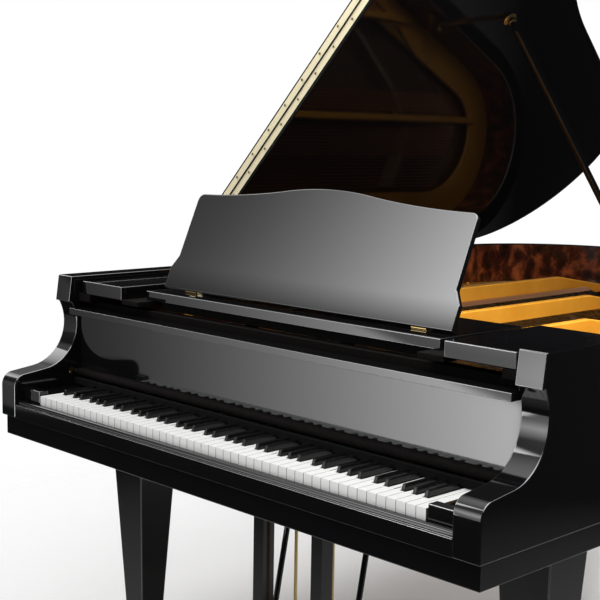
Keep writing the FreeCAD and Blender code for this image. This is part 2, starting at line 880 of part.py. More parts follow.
def key_frame():
    low = RIM_BOTTOM + SEAT
    top = low + size("frame_rail_thick")
    wide = (-size("frame_end_outer"), size("frame_end_outer"))
    balance = size("key_balance")
    half = size("balance_rail_width") / 2
    crown = KEY_TOP - size("key_thick") - SEAT - size("balance_round")
    back = (size("back_rail_start"), size("back_rail_start") + size("back_rail_width"))
    front = (size("front_rail_start"), size("front_rail_start") + size("front_rail_width"))
    end = (size("frame_end_inner"), size("frame_end_outer"))
    long = (size("key_block_depth") + size("front_rail_start"), back[1])
    span = (-size("frame_end_inner"), size("frame_end_inner"))
    inner = (-size("key_pitch") * (WHITE_COUNT / 2), size("key_pitch") * (WHITE_COUNT / 2))
    tie = (-half, half)
    rails = [
        box(inner, front, (low, top)),
        box(tie, (front[1], balance), (low, top)),
        box(wide, (balance - half, balance + half), (low, top)),
        box(span, (balance - size("balance_round"), balance + size("balance_round")), (top, crown)),
        rod(size("balance_round"), span[1] * 2, span[0], balance, crown, "x"),
        box(wide, back, (low, top)),
        box(end, long, (low, top)),
        box(mirror_x(end), long, (low, top)),
    ]
    place(fuse(rails), "key_frame")
    bracket = (size("bracket_inner"), size("bracket_inner") + size("bracket_thick"))
    deep = (size("bracket_start"), size("bracket_end"))
    tall = (top, level("bracket_top"))
    rail = (size("hammer_rail_start"), size("hammer_rail_start") + size("hammer_rail_width"))
    rail_top = level("bracket_top") + size("hammer_rail_high")
    wippen = (size("wippen_rail_start"), size("wippen_rail_start") + size("wippen_rail_width"))
    wippen_top = level("wippen_rail_low") + size("wippen_rail_high")
    frame = [
        box(bracket, deep, tall),
        box(mirror_x(bracket), deep, tall),
        box((-bracket[1], bracket[1]), rail, (level("bracket_top"), rail_top)),
        box((-bracket[0], bracket[0]), wippen, (level("wippen_rail_low"), wippen_top)),
    ]
    hammers, wippens = [], []
    shank_z = (level("bracket_top") + rail_top) / 2
    for share in string_places():
        x = HALF * share
        half = size("hammer_width") / 2
        shank = Part.makeCylinder(float(size("shank_radius")), float(size("hammer_start") - rail[1]),
                                  point(x, rail[1], shank_z), Vector(0, 1, 0))
        head = block_shape((x - half, x + half),
                           (size("hammer_start"), size("hammer_start") + size("hammer_deep")),
                           (shank_z - size("shank_radius") * 2, level("hammer_top")))
        hammers.append(shank.fuse(head))
        half = size("wippen_width") / 2
        middle = (level("wippen_rail_low") + wippen_top) / 2
        wippens.append(block_shape((x - half, x + half), (size("wippen_start"), wippen[0]),
                                   (middle - size("wippen_high") / 2, middle + size("wippen_high") / 2)))
    place(feature(Part.Compound(hammers)), "hammers")
    place(group(frame + [feature(Part.Compound(wippens))]), "action_frame")


def fallboard():
    """The key cover, which turns on brass pins in its rounded lower edge."""
    side = ARM_INNER - size("fall_end_gap")
    pivot_y = size("fall_pivot_y")
    pivot_z = KEY_TOP + size("fall_pivot_high")
    back = size("fall_face") + size("fall_thick")
    lip_low = KEY_TOP + size("fall_lip_low")
    lip_top = KEY_TOP + size("fall_lip_high")
    panel = [
        (size("fall_face"), pivot_z),
        (size("fall_face"), lip_low),
        (size("fall_lip_front"), lip_low),
        (size("fall_lip_front"), lip_top),
        (back, lip_top),
        (back, pivot_z),
    ]
    board = fuse([pad("YZ_Plane", -side, side, [panel]),
                  rod(size("fall_bead"), side * 2, -side, pivot_y, pivot_z, "x")])
    pin = size("fall_pin_radius")
    reach = size("fall_bead") * 2
    bore = pin + SEAT
    bores = group([rod(bore, reach, end, pivot_y, pivot_z, "x") for end in (-side, side - reach)])
    place(cut(board, bores), "fallboard")
    inner = side - reach + size("fall_end_gap")
    plate = size("fall_plate_thick")
    pivots = []
    for pin_start, plate_start in ((inner, ARM_INNER - plate), (-ARM_INNER, -ARM_INNER)):
        pivots.append(fuse([rod(pin, ARM_INNER - inner, pin_start, pivot_y, pivot_z, "x"),
                            rod(size("fall_plate_radius"), plate, plate_start, pivot_y, pivot_z, "x")]))
    place(group(pivots), "fallboard_pivots")


# Music desk


def desk_outline():
    half = size("desk_half")
    neck = size("desk_neck")
    high = size("desk_height")
    shoulder = size("desk_shoulder")
    base = size("desk_axis_y")
    gap = size("desk_gap")
    corner = half - neck
    swell = DESK_SWELL_SHARES
    right = [
        (half, base + gap),
        (half, base + high * DESK_EAR_SHARES[0]),
        (neck, base + high * DESK_EAR_SHARES[1]),
        (neck, base + shoulder - corner),
        ("arc", neck - corner * DESK_ROUND_SHARE, base + shoulder - corner * DESK_ROUND_SHARE),
        (neck - corner, base + shoulder),
        ("arc", half * swell[0][0], base + high * swell[0][1]),
        (half * swell[1][0], base + high * swell[1][1]),
    ]
    left = [("arc", -item[1], item[2]) if item[0] == "arc" else (-item[0], item[1]) for item in right]
    return right + [("arc", ZERO, base + high)] + left[::-1]


def music_desk():
    low = level("shelf_low")
    top = low + size("shelf_thick")
    half = size("shelf_half")
    shelf = pad("XY_Plane", low, top, [rectangle((-half, half), (size("shelf_front"), size("shelf_back")))])
    slot = size("shelf_slot_half")
    pocket(shelf, "XY_Plane", [rectangle((-slot, slot), (size("shelf_slot_front"), size("shelf_slot_back")))])
    place(shelf, "music_shelf")
    block = (size("side_block_inner"), size("side_block_outer"))
    deep = (size("side_block_front"), size("shelf_back"))
    tall = (level("side_block_low"), level("side_block_top"))
    runner = (size("runner_inner"), size("side_block_inner"))
    cleat = (size("cleat_inner"), ARM_INNER)
    rails = [box(span, deep, tall) for span in (block, mirror_x(block))]
    for across, up in ((runner, (level("runner_low"), low - SEAT)), (cleat, (level("cleat_low"), tall[0]))):
        rails += [box(across, deep, up), box(mirror_x(across), deep, up)]
    under = (size("runner_inner"), size("cleat_inner"))
    bearer = (level("plate_bar_top") + SEAT, level("runner_low"))
    front = (size("shelf_back") - size("rim_thick"), size("shelf_back"))
    rails += [box(under, front, bearer), box(mirror_x(under), front, bearer)]
    place(group(rails), "desk_side_blocks")

    axis_y = size("desk_axis_y")
    axis_z = top + size("desk_axis_high")
    hinge = point(ZERO, axis_y, axis_z)
    board = pad("XY_Plane", axis_z, axis_z + size("desk_thick"), [desk_outline()])
    knuckle = size("desk_hinge_radius")
    wide = size("desk_hinge_half")
    notches, leaves = [], []
    for middle in (size("desk_hinge_x"), -size("desk_hinge_x")):
        across = (middle - wide, middle + wide)
        clear = (across[0] - size("desk_gap"), across[1] + size("desk_gap"))
        notches.append(box(clear, (axis_y - knuckle, axis_y + knuckle * 2),
                           (axis_z - knuckle, axis_z + knuckle * 2)))
        leaf = box(across, (axis_y, axis_y + wide), (top, top + knuckle / 2))
        leaves.append(fuse([leaf, rod(knuckle, wide * 2, across[0], axis_y, axis_z, "x")]))
    turned(cut(board, group(notches)), "music_desk", hinge, Vector(1, 0, 0), DESK_RAISED)
    place(group(leaves), "desk_hinges")

    pivot_y = axis_y + size("strut_high")
    pivot_z = axis_z - size("strut_drop")
    bar_half = size("strut_thick") / 2
    across = (-size("strut_half"), size("strut_half"))
    long = (pivot_y - size("strut_length"), pivot_y)
    strut = fuse([box(across, long, (pivot_z - bar_half, pivot_z + bar_half)),
                  rod(bar_half, across[1] * 2, across[0], pivot_y, pivot_z, "x")])
    turned(strut, "desk_strut", hinge, Vector(1, 0, 0), DESK_RAISED)
    swing = FreeCAD.Rotation(Vector(1, 0, 0), STRUT_OPEN)
    strut.Placement = strut.Placement * FreeCAD.Placement(Vector(), swing, point(ZERO, pivot_y, pivot_z))


# Lid


LID_LOW = RIM_TOP + size("lid_gap")
LID_TOP = LID_LOW + size("lid_thick")
LID_AXIS_X = -HALF - size("lid_axis_out")
LID_AXIS_Z = RIM_TOP + size("lid_axis_high")


def opened(item, label):
    """A lid piece is laid out closed and then turned up about the hinges on the spine."""
    return turned(item, label, point(LID_AXIS_X, ZERO, LID_AXIS_Z), Vector(0, -1, 0), LID_OPEN)


def lid_panels():
    opened(pad("XY_Plane", LID_LOW, LID_TOP, [case_chain(-size("lid_over"), size("lid_split"))]), "main_lid")
    axis_y = size("lid_split") - size("flap_hinge_drop")
    flap_low = LID_TOP + size("flap_hinge_high") * 2
    wide = HALF + size("lid_over")
    deep = (size("lid_split"), axis_y * 2 - size("flap_front"))
    opened(group([box((-wide, wide), deep, (flap_low, flap_low + size("lid_thick")))]), "front_flap")


def flap_hinge():
    """A long hinge: two leaves on the panels' edges, with knuckles that take turns."""
    axis_y = size("lid_split") - size("flap_hinge_drop")
    axis_z = LID_TOP + size("flap_hinge_high")
    knuckle = size("flap_knuckle_radius")
    leaf_y = (size("lid_split") - size("flap_leaf_thick"), size("lid_split"))
    wide = HALF - size("flap_leaf_margin")
    reach = knuckle + SEAT
    count = int(float(wide * 2) // float(size("flap_knuckle_length")))
    pitch = wide * 2 / count
    tall = size("flap_leaf_high")
    sides = (("flap_hinge_lid_leaf", axis_z - reach, -1, 0), ("flap_hinge_flap_leaf", axis_z + reach, 1, 1))
    for label, near, way, first in sides:
        edges = sorted((near, near + tall * way), key=float)
        pieces = [box((-wide, wide), leaf_y, edges)]
        for number in range(first, count, 2):
            start = pitch * number - wide + SEAT
            own = (start, start + pitch - SEAT * 2)
            pieces.append(box(own, leaf_y, sorted((near, axis_z), key=float)))
            pieces.append(rod(knuckle, own[1] - own[0], own[0], axis_y, axis_z, "x"))
        opened(fuse(pieces), label)


def lid_hinges():
    knuckle = size("lid_knuckle_radius")
    long = size("lid_knuckle_length")
    pin = size("lid_pin_radius")
    edge = -HALF - size("lid_over")
    brackets, leaves = [], []
    for number in range(LID_HINGE_COUNT):
        start = size("lid_hinge_first") + size("lid_hinge_pitch") * number
        second = start + long + SEAT
        case_leaf = box((LID_AXIS_X, -HALF), (start, start + long),
                        (LID_AXIS_Z - size("lid_leaf_high"), LID_AXIS_Z - knuckle / 2))
        brackets.append(fuse([case_leaf, rod(knuckle, long, LID_AXIS_X, start, LID_AXIS_Z, "y"),
                              rod(pin, long * 2, LID_AXIS_X, start, LID_AXIS_Z, "y")]))
        lid_leaf = box((edge - size("lid_leaf_thick"), edge), (second, second + long),
                       (LID_LOW, LID_LOW + size("lid_leaf_high")))
        barrel = fuse([lid_leaf, rod(knuckle, long, LID_AXIS_X, second, LID_AXIS_Z, "y")])
        leaves.append(cut(barrel, rod(pin + SEAT, long, LID_AXIS_X, second, LID_AXIS_Z, "y")))
    place(group(brackets), "lid_hinge_brackets")
    opened(group(leaves), "lid_hinge_leaves")


def lid_prop():
    """The stick that holds the lid, on a pinned eye in a bracket on the bent side."""
    beside = moved(WAIST_START, RUN_ALONG, -size("prop_foot_back"))
    lining = size("rim_thick") + size("veneer_thick")
    beside = moved(beside, toward(RUN_SIDE), -lining - size("prop_foot_in"))
    foot = point(*beside, RIM_TOP - size("prop_foot_drop"))
    slope = toward(LID_OPEN)
    out = beside[0] - LID_AXIS_X + size("prop_touch_past")
    drop = size("prop_touch_drop")
    tip = point(LID_AXIS_X + out * slope[0] + drop * slope[1], beside[1] - size("prop_touch_forward"),
                LID_AXIS_Z + out * slope[1] - drop * slope[0])
    along = (tip - foot).normalize()
    stowed = Vector(*RUN_ALONG, 0)
    axis = along.cross(stowed).normalize()
    half = float(size("prop_eye_half"))
    eye_radius = float(size("prop_eye_radius"))
    pin = float(size("prop_pin_radius"))
    ear = float(size("prop_ear_thick"))
    gap = float(SEAT)
    length = foot.distanceToPoint(tip)
    shaft_radius = float(size("prop_radius"))
    ear_radius = eye_radius + float(size("prop_ear_thick"))
    start = ear_radius + ear
    eye = Part.makeCylinder(eye_radius, half * 2, foot - axis * half, axis)
    neck = Part.makeCylinder(half, start, foot, along)
    shaft = Part.makeCylinder(shaft_radius, length - start * 2, foot + along * start, along)
    point_end = Part.makeCone(shaft_radius, half, start, foot + along * (length - start), along)
    stick = eye.fuse([neck, shaft, point_end])
    bore = Part.makeCylinder(pin + gap, half * 2, foot - axis * half, axis)
    place(feature(stick.cut(bore).removeSplitter()), "lid_prop")
    ears = [Part.makeCylinder(ear_radius, ear, foot + axis * offset, axis)
            for offset in (half + gap, -half - gap - ear)]
    pin_shape = Part.makeCylinder(pin, (half + gap + ear) * 2, foot - axis * (half + gap + ear), axis)
    low = foot.z - ear_radius - ear
    under_eye = eye_radius * math.hypot(axis.x, axis.y) + half * abs(axis.z) + gap
    base = Part.makeBox(ear_radius * 4, ear_radius * 4, ear_radius + ear - under_eye,
                        Vector(foot.x - ear_radius, foot.y - ear_radius, low))
    bracket = feature(base.fuse(ears + [pin_shape]))
    inside = pad("XY_Plane", level("veneer_low"), RIM_TOP + size("cut_over"),
                 [case_chain(size("rim_thick") + size("veneer_thick") + SEAT, size("belly_start"))])
    place(common(bracket, inside), "prop_bracket")


# Legs, casters and lyre


LEGS = (("left", -size("leg_x"), size("leg_y")), ("right", size("leg_x"), size("leg_y")),
        ("rear", size("rear_leg_x"), SPINE_END + size("rear_leg_back")))


def tapered(x, y, low, high):
    leg = doc.addObject("Part::Wedge", "leg")
    foot = size("leg_foot") / 2
    head = size("leg_top") / 2
    leg.Placement.Rotation = FreeCAD.Rotation(Vector(1, 0, 0), 90)
    bind(leg, Xmin=-foot, Xmax=foot, Zmin=-foot, Zmax=foot, X2min=-head, X2max=head, Z2min=-head, Z2max=head,
         Ymin=ZERO, Ymax=high - low, Placement__Base__x=x, Placement__Base__y=y, Placement__Base__z=low)
    return leg


def legs():
    keybed_low = RIM_BOTTOM - size("keybed_thick")
    plate_low = keybed_low - size("leg_plate_thick")
    half = size("leg_top") / 2 + size("leg_plate_over")
    plates, posts, ferrules = [], [], []
    for name, x, y in LEGS:
        plate_top = level("inner_rim_low") if name == "rear" else keybed_low
        plates.append(box((x - half, x + half), (y - half, y + half), (plate_low, plate_top)))
        posts.append(tapered(x, y, size("leg_foot_high"), plate_low))
        ferrules.append(rod(size("ferrule_radius"), size("ferrule_high"), x, y,
                            size("leg_foot_high") - size("ferrule_high")))
    place(group(plates + posts), "legs")
    place(group(ferrules), "leg_ferrules")


def casters():
    top = size("leg_foot_high") - size("ferrule_high") - SEAT
    plate_low = top - size("fork_plate")
    wheel_half = size("wheel_width") / 2
    inner = wheel_half + size("fork_gap")
    outer = inner + size("fork_cheek")
    axle_z = size("wheel_radius")
    for name, x, y in LEGS:
        axle_y = y + size("wheel_trail")
        deep = (axle_y - size("fork_width") / 2, axle_y + size("fork_width") / 2)
        tall = (axle_z - size("axle_radius") * 2, plate_low)
        place(fuse([
            rod(size("fork_radius"), size("fork_plate"), x, y, plate_low),
            box((x + inner, x + outer), deep, tall),
            box((x - outer, x - inner), deep, tall),
            rod(size("axle_radius"), outer * 2, x - outer, axle_y, axle_z, "x"),
        ]), f"{name}_caster_fork")
        wheel = rod(size("wheel_radius"), size("wheel_width"), x - wheel_half, axle_y, axle_z, "x")
        bore = rod(size("axle_radius") + SEAT, size("wheel_width"), x - wheel_half, axle_y, axle_z, "x")
        place(cut(wheel, bore), f"{name}_caster_wheel")


def lyre():
    keybed_low = RIM_BOTTOM - size("keybed_thick")
    head_low = keybed_low - size("lyre_head_thick")
    y = size("lyre_y")
    half = size("lyre_head_half")
    deep = (y - size("lyre_head_deep") / 2, y + size("lyre_head_deep") / 2)
    frame = [box((-half, half), deep, (head_low, keybed_low))]
    post = size("lyre_post_half")
    for x in (-size("lyre_post_x"), size("lyre_post_x")):
        frame.append(box((x - post, x + post), (y - post, y + post), (size("pedal_box_top"), head_low)))
    half = size("pedal_box_half")
    deep = (y - size("pedal_box_deep") / 2, y + size("pedal_box_deep") / 2)
    slot = (-size("pedal_slot_half"), size("pedal_slot_half"))
    tall = (size("pedal_box_low"), size("pedal_box_top"))
    case = cut(box((-half, half), deep, tall),
               box(slot, deep, (size("pedal_slot_low"), size("pedal_slot_top"))))
    axis_y = size("pedal_axis_y")
    axis_z = size("pedal_axis_z")
    pin = size("pedal_pin_radius")
    place(group([case, rod(pin, slot[1] * 2, slot[0], axis_y, axis_z, "x")]), "pedal_box")
    lever = size("pedal_half")
    thick = size("pedal_thick") / 2
    for name, times in (("left", -1), ("middle", 0), ("right", 1)):
        x = size("pedal_pitch") * times
        bar = fuse([box((x - lever, x + lever), (size("pedal_front"), size("pedal_back")),
                        (axis_z - thick, axis_z + thick)),
                    rod(size("pedal_boss"), lever * 2, x - lever, axis_y, axis_z, "x")])
        place(cut(bar, rod(pin + SEAT, lever * 2, x - lever, axis_y, axis_z, "x")), f"{name}_pedal")
        low = axis_z + thick + SEAT
        place(group([rod(size("pedal_rod_radius"), keybed_low - size("pedal_rod_gap") - low, x,
                         size("pedal_rod_y"), low)]), f"{name}_pedal_rod")
    braces = []
    for x in (-half + size("brace_radius") * 3, half - size("brace_radius") * 3):
        start = point(x, deep[1] - size("brace_radius") * 2, size("pedal_box_top") - size("brace_radius") * 4)
        end = point(x, deep[1] + size("brace_reach"), keybed_low + size("brace_radius") * 2)
        along = end - start
        braces.append(Part.makeCylinder(float(size("brace_radius")), along.Length, start, along))
    room = box((-half, half), (deep[1], deep[1] * 2), (tall[0], keybed_low))
    place(group(frame + [common(feature(Part.Compound(braces)), room)]), "lyre")


outer_rim()
rim_veneer()
keybed_parts()
cross_rails()
sound_body()
plate_parts()
dampers()
keys()
key_frame()
fallboard()
music_desk()
lid_panels()
flap_hinge()
lid_hinges()
lid_prop()
legs()
casters()
lyre()

doc.recompute()

for item in doc.Objects:
    if "Invalid" in item.State or "Error" in item.State:
        raise RuntimeError(f"{item.Name} failed: {item.State}")
for item in NODES:
    if item.Shape.isNull() or not item.Shape.isValid():
        raise RuntimeError(f"{item.Label} has no valid shape")

os.makedirs("parts", exist_ok=True)
for item in NODES:
    item.Shape.exportStep(f"parts/{item.Label}.step")
    print(f"{item.Label}: {len(item.Shape.Solids)} solids, {item.Shape.Volume / 1e3:.1f} cm3")
print(f"{len(NODES)} nodes")
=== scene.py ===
import json
import math

import bmesh
import bpy
from mathutils import Matrix, Vector


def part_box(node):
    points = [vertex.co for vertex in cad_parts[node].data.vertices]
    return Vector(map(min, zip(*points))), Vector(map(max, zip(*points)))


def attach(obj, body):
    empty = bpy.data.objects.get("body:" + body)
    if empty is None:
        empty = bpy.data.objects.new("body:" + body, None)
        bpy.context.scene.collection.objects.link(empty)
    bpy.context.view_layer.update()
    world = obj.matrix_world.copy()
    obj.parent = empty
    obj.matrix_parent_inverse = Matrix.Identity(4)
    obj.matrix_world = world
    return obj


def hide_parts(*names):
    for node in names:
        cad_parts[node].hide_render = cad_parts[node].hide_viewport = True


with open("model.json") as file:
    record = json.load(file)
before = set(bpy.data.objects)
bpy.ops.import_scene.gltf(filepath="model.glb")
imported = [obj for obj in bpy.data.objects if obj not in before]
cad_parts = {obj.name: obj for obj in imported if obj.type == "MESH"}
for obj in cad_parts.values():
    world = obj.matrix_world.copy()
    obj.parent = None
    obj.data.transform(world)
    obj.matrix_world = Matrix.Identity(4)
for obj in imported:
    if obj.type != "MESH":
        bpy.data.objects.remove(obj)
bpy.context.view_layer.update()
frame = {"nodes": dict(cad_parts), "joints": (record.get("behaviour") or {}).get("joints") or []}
nodes = frame["nodes"]
joints = {joint["name"]: joint for joint in frame["joints"]}

# Outer rim
# The case is a bent rim of laminated hardwood, sprayed with black lacquer and polished to a mirror.
# Its two front ends sweep down to the arms, and every edge is eased. The eased edges take a lacquer that
# mirrors far more strongly than the rest, a painted highlight that gives each edge a thin light line.
MERGE_DISTANCE = 1e-6
FLAT_ANGLE = math.radians(0.3)
SHARP_ANGLE = math.radians(25.0)
FLAT_WEIGHT = 100
RIM_EDGE = 0.0025
LACQUER_BLACK = (0.004, 0.004, 0.0045, 1.0)
LACQUER_INDEX = 1.5
HIGHLIGHT_EDGE_INDEX = 2.6


def feed(tree, node, inputs):
    """Set a node's inputs to plain values, or link them to other nodes' outputs."""
    for name, value in inputs.items():
        if isinstance(value, bpy.types.NodeSocket):
            tree.links.new(value, node.inputs[name])
        else:
            node.inputs[name].default_value = value


def add(tree, kind, inputs=None, **properties):
    """A node of a tree, with its properties and its inputs."""
    node = tree.nodes.new(kind)
    for name, value in properties.items():
        setattr(node, name, value)
    feed(tree, node, inputs or {})
    return node


def new_group(name, kind, inputs, outputs):
    """A node group with its sockets, and what it is given."""
    group = bpy.data.node_groups.new(name, kind)
    for way, sockets in (("INPUT", inputs), ("OUTPUT", outputs)):
        for socket, sort in sockets.items():
            group.interface.new_socket(socket, in_out=way, socket_type=f"NodeSocket{sort}")
    return group, add(group, "NodeGroupInput").outputs


def new_finish(name, **inputs):
    """A material with its tree, its shader and a node that gives object coordinates."""
    finish = bpy.data.materials.new(name)
    finish.use_nodes = True
    tree = finish.node_tree
    shader = tree.nodes["Principled BSDF"]
    feed(tree, shader, {socket.replace("_", " "): value for socket, value in inputs.items()})
    coordinates = add(tree, "ShaderNodeTexCoord").outputs["Object"]
    return finish, tree, shader, coordinates


def haze_group():
    """Polishing haze: a slow drift in gloss and a faint waviness, as on sprayed and rubbed lacquer."""
    group, given = new_group("polishing_haze", "ShaderNodeTree",
                             {"Vector": "Vector", "Scale": "Float", "Glossy": "Float", "Hazy": "Float"},
                             {"Roughness": "Float", "Height": "Float"})
    drift = add(group, "ShaderNodeTexNoise", {"Vector": given["Vector"], "Scale": given["Scale"],
                                              "Detail": 4.0, "Roughness": 0.6})
    level = add(group, "ShaderNodeMapRange", {"Value": drift.outputs["Fac"], "From Min": 0.3, "From Max": 0.7,
                                              "To Min": given["Glossy"], "To Max": given["Hazy"]})
    wave = add(group, "ShaderNodeTexNoise", {"Vector": given["Vector"], "Scale": given["Scale"],
                                             "Detail": 1.0})
    add(group, "NodeGroupOutput", {"Roughness": level.outputs["Result"], "Height": wave.outputs["Fac"]})
    return group


haze = haze_group()


def relief(tree, shader, height, strength, depth):
    """Raise and sink a shader's surface by a texture's height."""
    bump = add(tree, "ShaderNodeBump", {"Strength": strength, "Distance": depth, "Height": height})
    feed(tree, shader, {"Normal": bump.outputs["Normal"]})


def rubbed(name, scale, glossy, hazy, depth, **inputs):
    """A finish with the polishing haze, at its own scale, range of gloss and depth of waviness."""
    finish, tree, shader, coordinates = new_finish(name, **inputs)
    marks = add(tree, "ShaderNodeGroup", {"Vector": coordinates, "Scale": scale, "Glossy": glossy,
                                          "Hazy": hazy}, node_tree=haze)
    feed(tree, shader, {"Roughness": marks.outputs["Roughness"]})
    relief(tree, shader, marks.outputs["Height"], strength=1.0, depth=depth)
    return finish


def black_lacquer(name, index):
    """Sprayed and rubbed black lacquer that mirrors as strongly as its index says."""
    return rubbed(name, scale=3.0, glossy=0.03, hazy=0.07, depth=0.0002, Base_Color=LACQUER_BLACK, IOR=index)


lacquer = black_lacquer("black_lacquer", LACQUER_INDEX)
# An edge lacquer that mirrors far more strongly than real lacquer: a painted highlight on eased edges.
painted_highlight_edge = black_lacquer("painted_highlight_edge", HIGHLIGHT_EDGE_INDEX)


def settle(piece):
    """Make a piece's modifiers plain mesh."""
    bpy.context.view_layer.update()
    graph = bpy.context.evaluated_depsgraph_get()
    mesh = bpy.data.meshes.new_from_object(piece.evaluated_get(graph), preserve_all_data_layers=True,
                                           depsgraph=graph)
    piece.modifiers.clear()
    piece.data = mesh
    return piece


def new_piece(name, mesh, finish=None):
    """A mesh set in the scene, with one finish."""
    piece = bpy.data.objects.new(name, mesh)
    bpy.context.scene.collection.objects.link(piece)
    if finish:
        mesh.materials.clear()
        mesh.materials.append(finish)
    return piece


def shaped(name, work, finish=None):
    """A piece from a bmesh, which is then freed."""
    mesh = bpy.data.meshes.new(name)
    work.to_mesh(mesh)
    work.free()
    return new_piece(name, mesh, finish)


def rounded(piece, width, segments=3):
    """Ease a piece's sharp edges."""
    piece.data.polygons.foreach_set("use_smooth", [True] * len(piece.data.polygons))
    edge = piece.modifiers.new("eased_edge", "BEVEL")
    edge.width = width
    edge.segments = segments
    edge.limit_method = "ANGLE"
    edge.angle_limit = SHARP_ANGLE
    # A lacquered piece's eased edges take the stronger-mirroring edge lacquer, a painted highlight.
    if piece.data.materials[0] == lacquer:
        piece.data.materials.append(painted_highlight_edge)
        edge.material = 1
    flat = piece.modifiers.new("flat_faces", "WEIGHTED_NORMAL")
    flat.mode = "FACE_AREA"
    flat.weight = FLAT_WEIGHT
    return settle(piece)


def welded(node):
    """A copy of a CAD node's mesh as a bmesh, its corners joined."""
    work = bmesh.new()
    work.from_mesh(nodes[node].data)
    bmesh.ops.remove_doubles(work, verts=work.verts, dist=MERGE_DISTANCE)
    return work


def merged_copy(node):
    """A welded copy of a CAD node's mesh, its triangles joined into whole faces."""
    work = welded(node)
    bmesh.ops.dissolve_limit(work, angle_limit=FLAT_ANGLE, verts=work.verts, edges=work.edges)
    return work


def divided(work, place, normal):
    """Divide a shape's faces where a plane cuts them."""
    bmesh.ops.bisect_plane(work, geom=work.verts[:] + work.edges[:] + work.faces[:], dist=MERGE_DISTANCE,
                           plane_co=place, plane_no=normal)


def eased(node, name, width, finish, segments=3, cut=None):
    """A piece with a CAD node's shape and eased edges, its faces divided where a plane cuts them."""
    work = merged_copy(node)
    if cut:
        divided(work, *cut)
    return rounded(shaped(name, work, finish), width, segments)


def fitted(piece, body, slot, *stands_for):
    """Say which body a piece rides on and which CAD nodes it stands for, and hide those. The slot is not
    used.
    """
    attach(piece, body)
    if stands_for:
        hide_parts(*stands_for)
    return piece


def faced(node, name, width, finish, body, slot):
    """Put an eased piece in a CAD node's place."""
    fitted(eased(node, name, width, finish), body, slot, node)


def dress(node, finish):
    """Give a CAD node that stays as it is its finish."""
    nodes[node].data.materials.clear()
    nodes[node].data.materials.append(finish)


faced("outer_rim", "rim", RIM_EDGE, lacquer, "case", "black_polish")

# Inner rim, soundboard and pinblock
# The inner rim, belly rail and posts are bare maple. The soundboard is quarter-sawn spruce, varnished, with
# its grain along the long bridge, and the pinblock is laminated maple. The spruce's colour is darkened far
# below bare spruce as painted shade inside the case.
GRAIN_STRETCH = 14.0
GRAIN_DARK_AT = 0.35
GRAIN_PALE_AT = 0.62
BOARD_TURN = math.radians(-35.0)
BOARD_EDGE = 0.001
BRIDGE_FOOT = 0.03
STRETCHER_THICK = 0.034


def colour_ramp(tree, level, *stops):
    """The colour at a level on a ramp through pairs of place and colour, lowest first."""
    ramp = add(tree, "ShaderNodeValToRGB", {"Fac": level})
    elements = ramp.color_ramp.elements
    while len(elements) < len(stops):
        elements.new(1.0)
    for element, (position, colour) in zip(elements, stops):
        element.position = position
        element.color = (*colour, 1.0)
    return ramp.outputs["Color"]


def wood(name, pale, dark, grain, roughness, turn=0.0, **inputs):
    """Timber with straight grain along Y, turned about Z."""
    finish, tree, shader, coordinates = new_finish(name, Roughness=roughness, **inputs)
    place = add(tree, "ShaderNodeMapping", {"Vector": coordinates, "Rotation": (0.0, 0.0, turn),
                                            "Scale": (GRAIN_STRETCH, 1.0, GRAIN_STRETCH)})
    lines = add(tree, "ShaderNodeTexNoise", {"Vector": place.outputs["Vector"], "Scale": grain, "Detail": 6.0,
                                             "Roughness": 0.65, "Distortion": 0.3}).outputs["Fac"]
    tone = colour_ramp(tree, lines, (GRAIN_DARK_AT, dark), (GRAIN_PALE_AT, pale))
    feed(tree, shader, {"Base Color": tone})
    relief(tree, shader, lines, strength=0.3, depth=0.0004)
    return finish


def painted(piece, finish, chosen):
    """Give the faces that a test chooses one more finish."""
    piece.data.materials.append(finish)
    added = len(piece.data.materials) - 1
    for face in piece.data.polygons:
        if chosen(face):
            face.material_index = added


# Black matt wood. Where it covers the plate's pin field and the board under the shelf, it is painted shade.
black_stain_and_shade = wood("black_stain_and_painted_shade", pale=(0.008, 0.007, 0.0065), dark=(0.005, 0.004, 0.004), grain=8.0,
                   roughness=0.75, Specular_IOR_Level=0.05)
maple = wood("bare_maple", pale=(0.62, 0.45, 0.27), dark=(0.45, 0.29, 0.15), grain=6.0, roughness=0.55)
# The spruce is dark brown, far darker than the wood itself: painted shade inside the case.
spruce = wood("spruce_darkened_as_shade", pale=(0.22, 0.092, 0.025), dark=(0.13, 0.048, 0.011), grain=9.0,
              roughness=0.3, turn=BOARD_TURN)
dress("inner_rim", maple)
board = eased("soundboard", "sounding_board", BOARD_EDGE, spruce, segments=1)
bridge_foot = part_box("rim_veneer")[0].z - BRIDGE_FOOT
painted(board, maple, lambda face: face.center.z > bridge_foot)
fitted(board, "case", "spruce", "soundboard")
block_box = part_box("pinblock")
pin_plank = eased("pinblock", "pin_plank", BOARD_EDGE, maple)
painted(pin_plank, black_stain_and_shade, lambda face: face.center.y < block_box[0].y + STRETCHER_THICK)
fitted(pin_plank, "case", "maple", "pinblock")

# Rim veneer
# The inside of the rim above the plate is faced with a figured red-brown burl, cut thin and glued to the bent
# wood, and polished under clear lacquer.
BURL_DARK = (0.004, 0.0008, 0.0003)
BURL_RED = (0.075, 0.0125, 0.003)
BURL_PALE = (0.46, 0.110, 0.028)
BURL_STRETCH = (1.0, 1.0, 0.7)
EYES_SHARE = 0.35


def figure(tree, operation, *values):
    """What a sum makes of plain values and other nodes' outputs."""
    return add(tree, "ShaderNodeMath", dict(enumerate(values)), operation=operation).outputs["Value"]


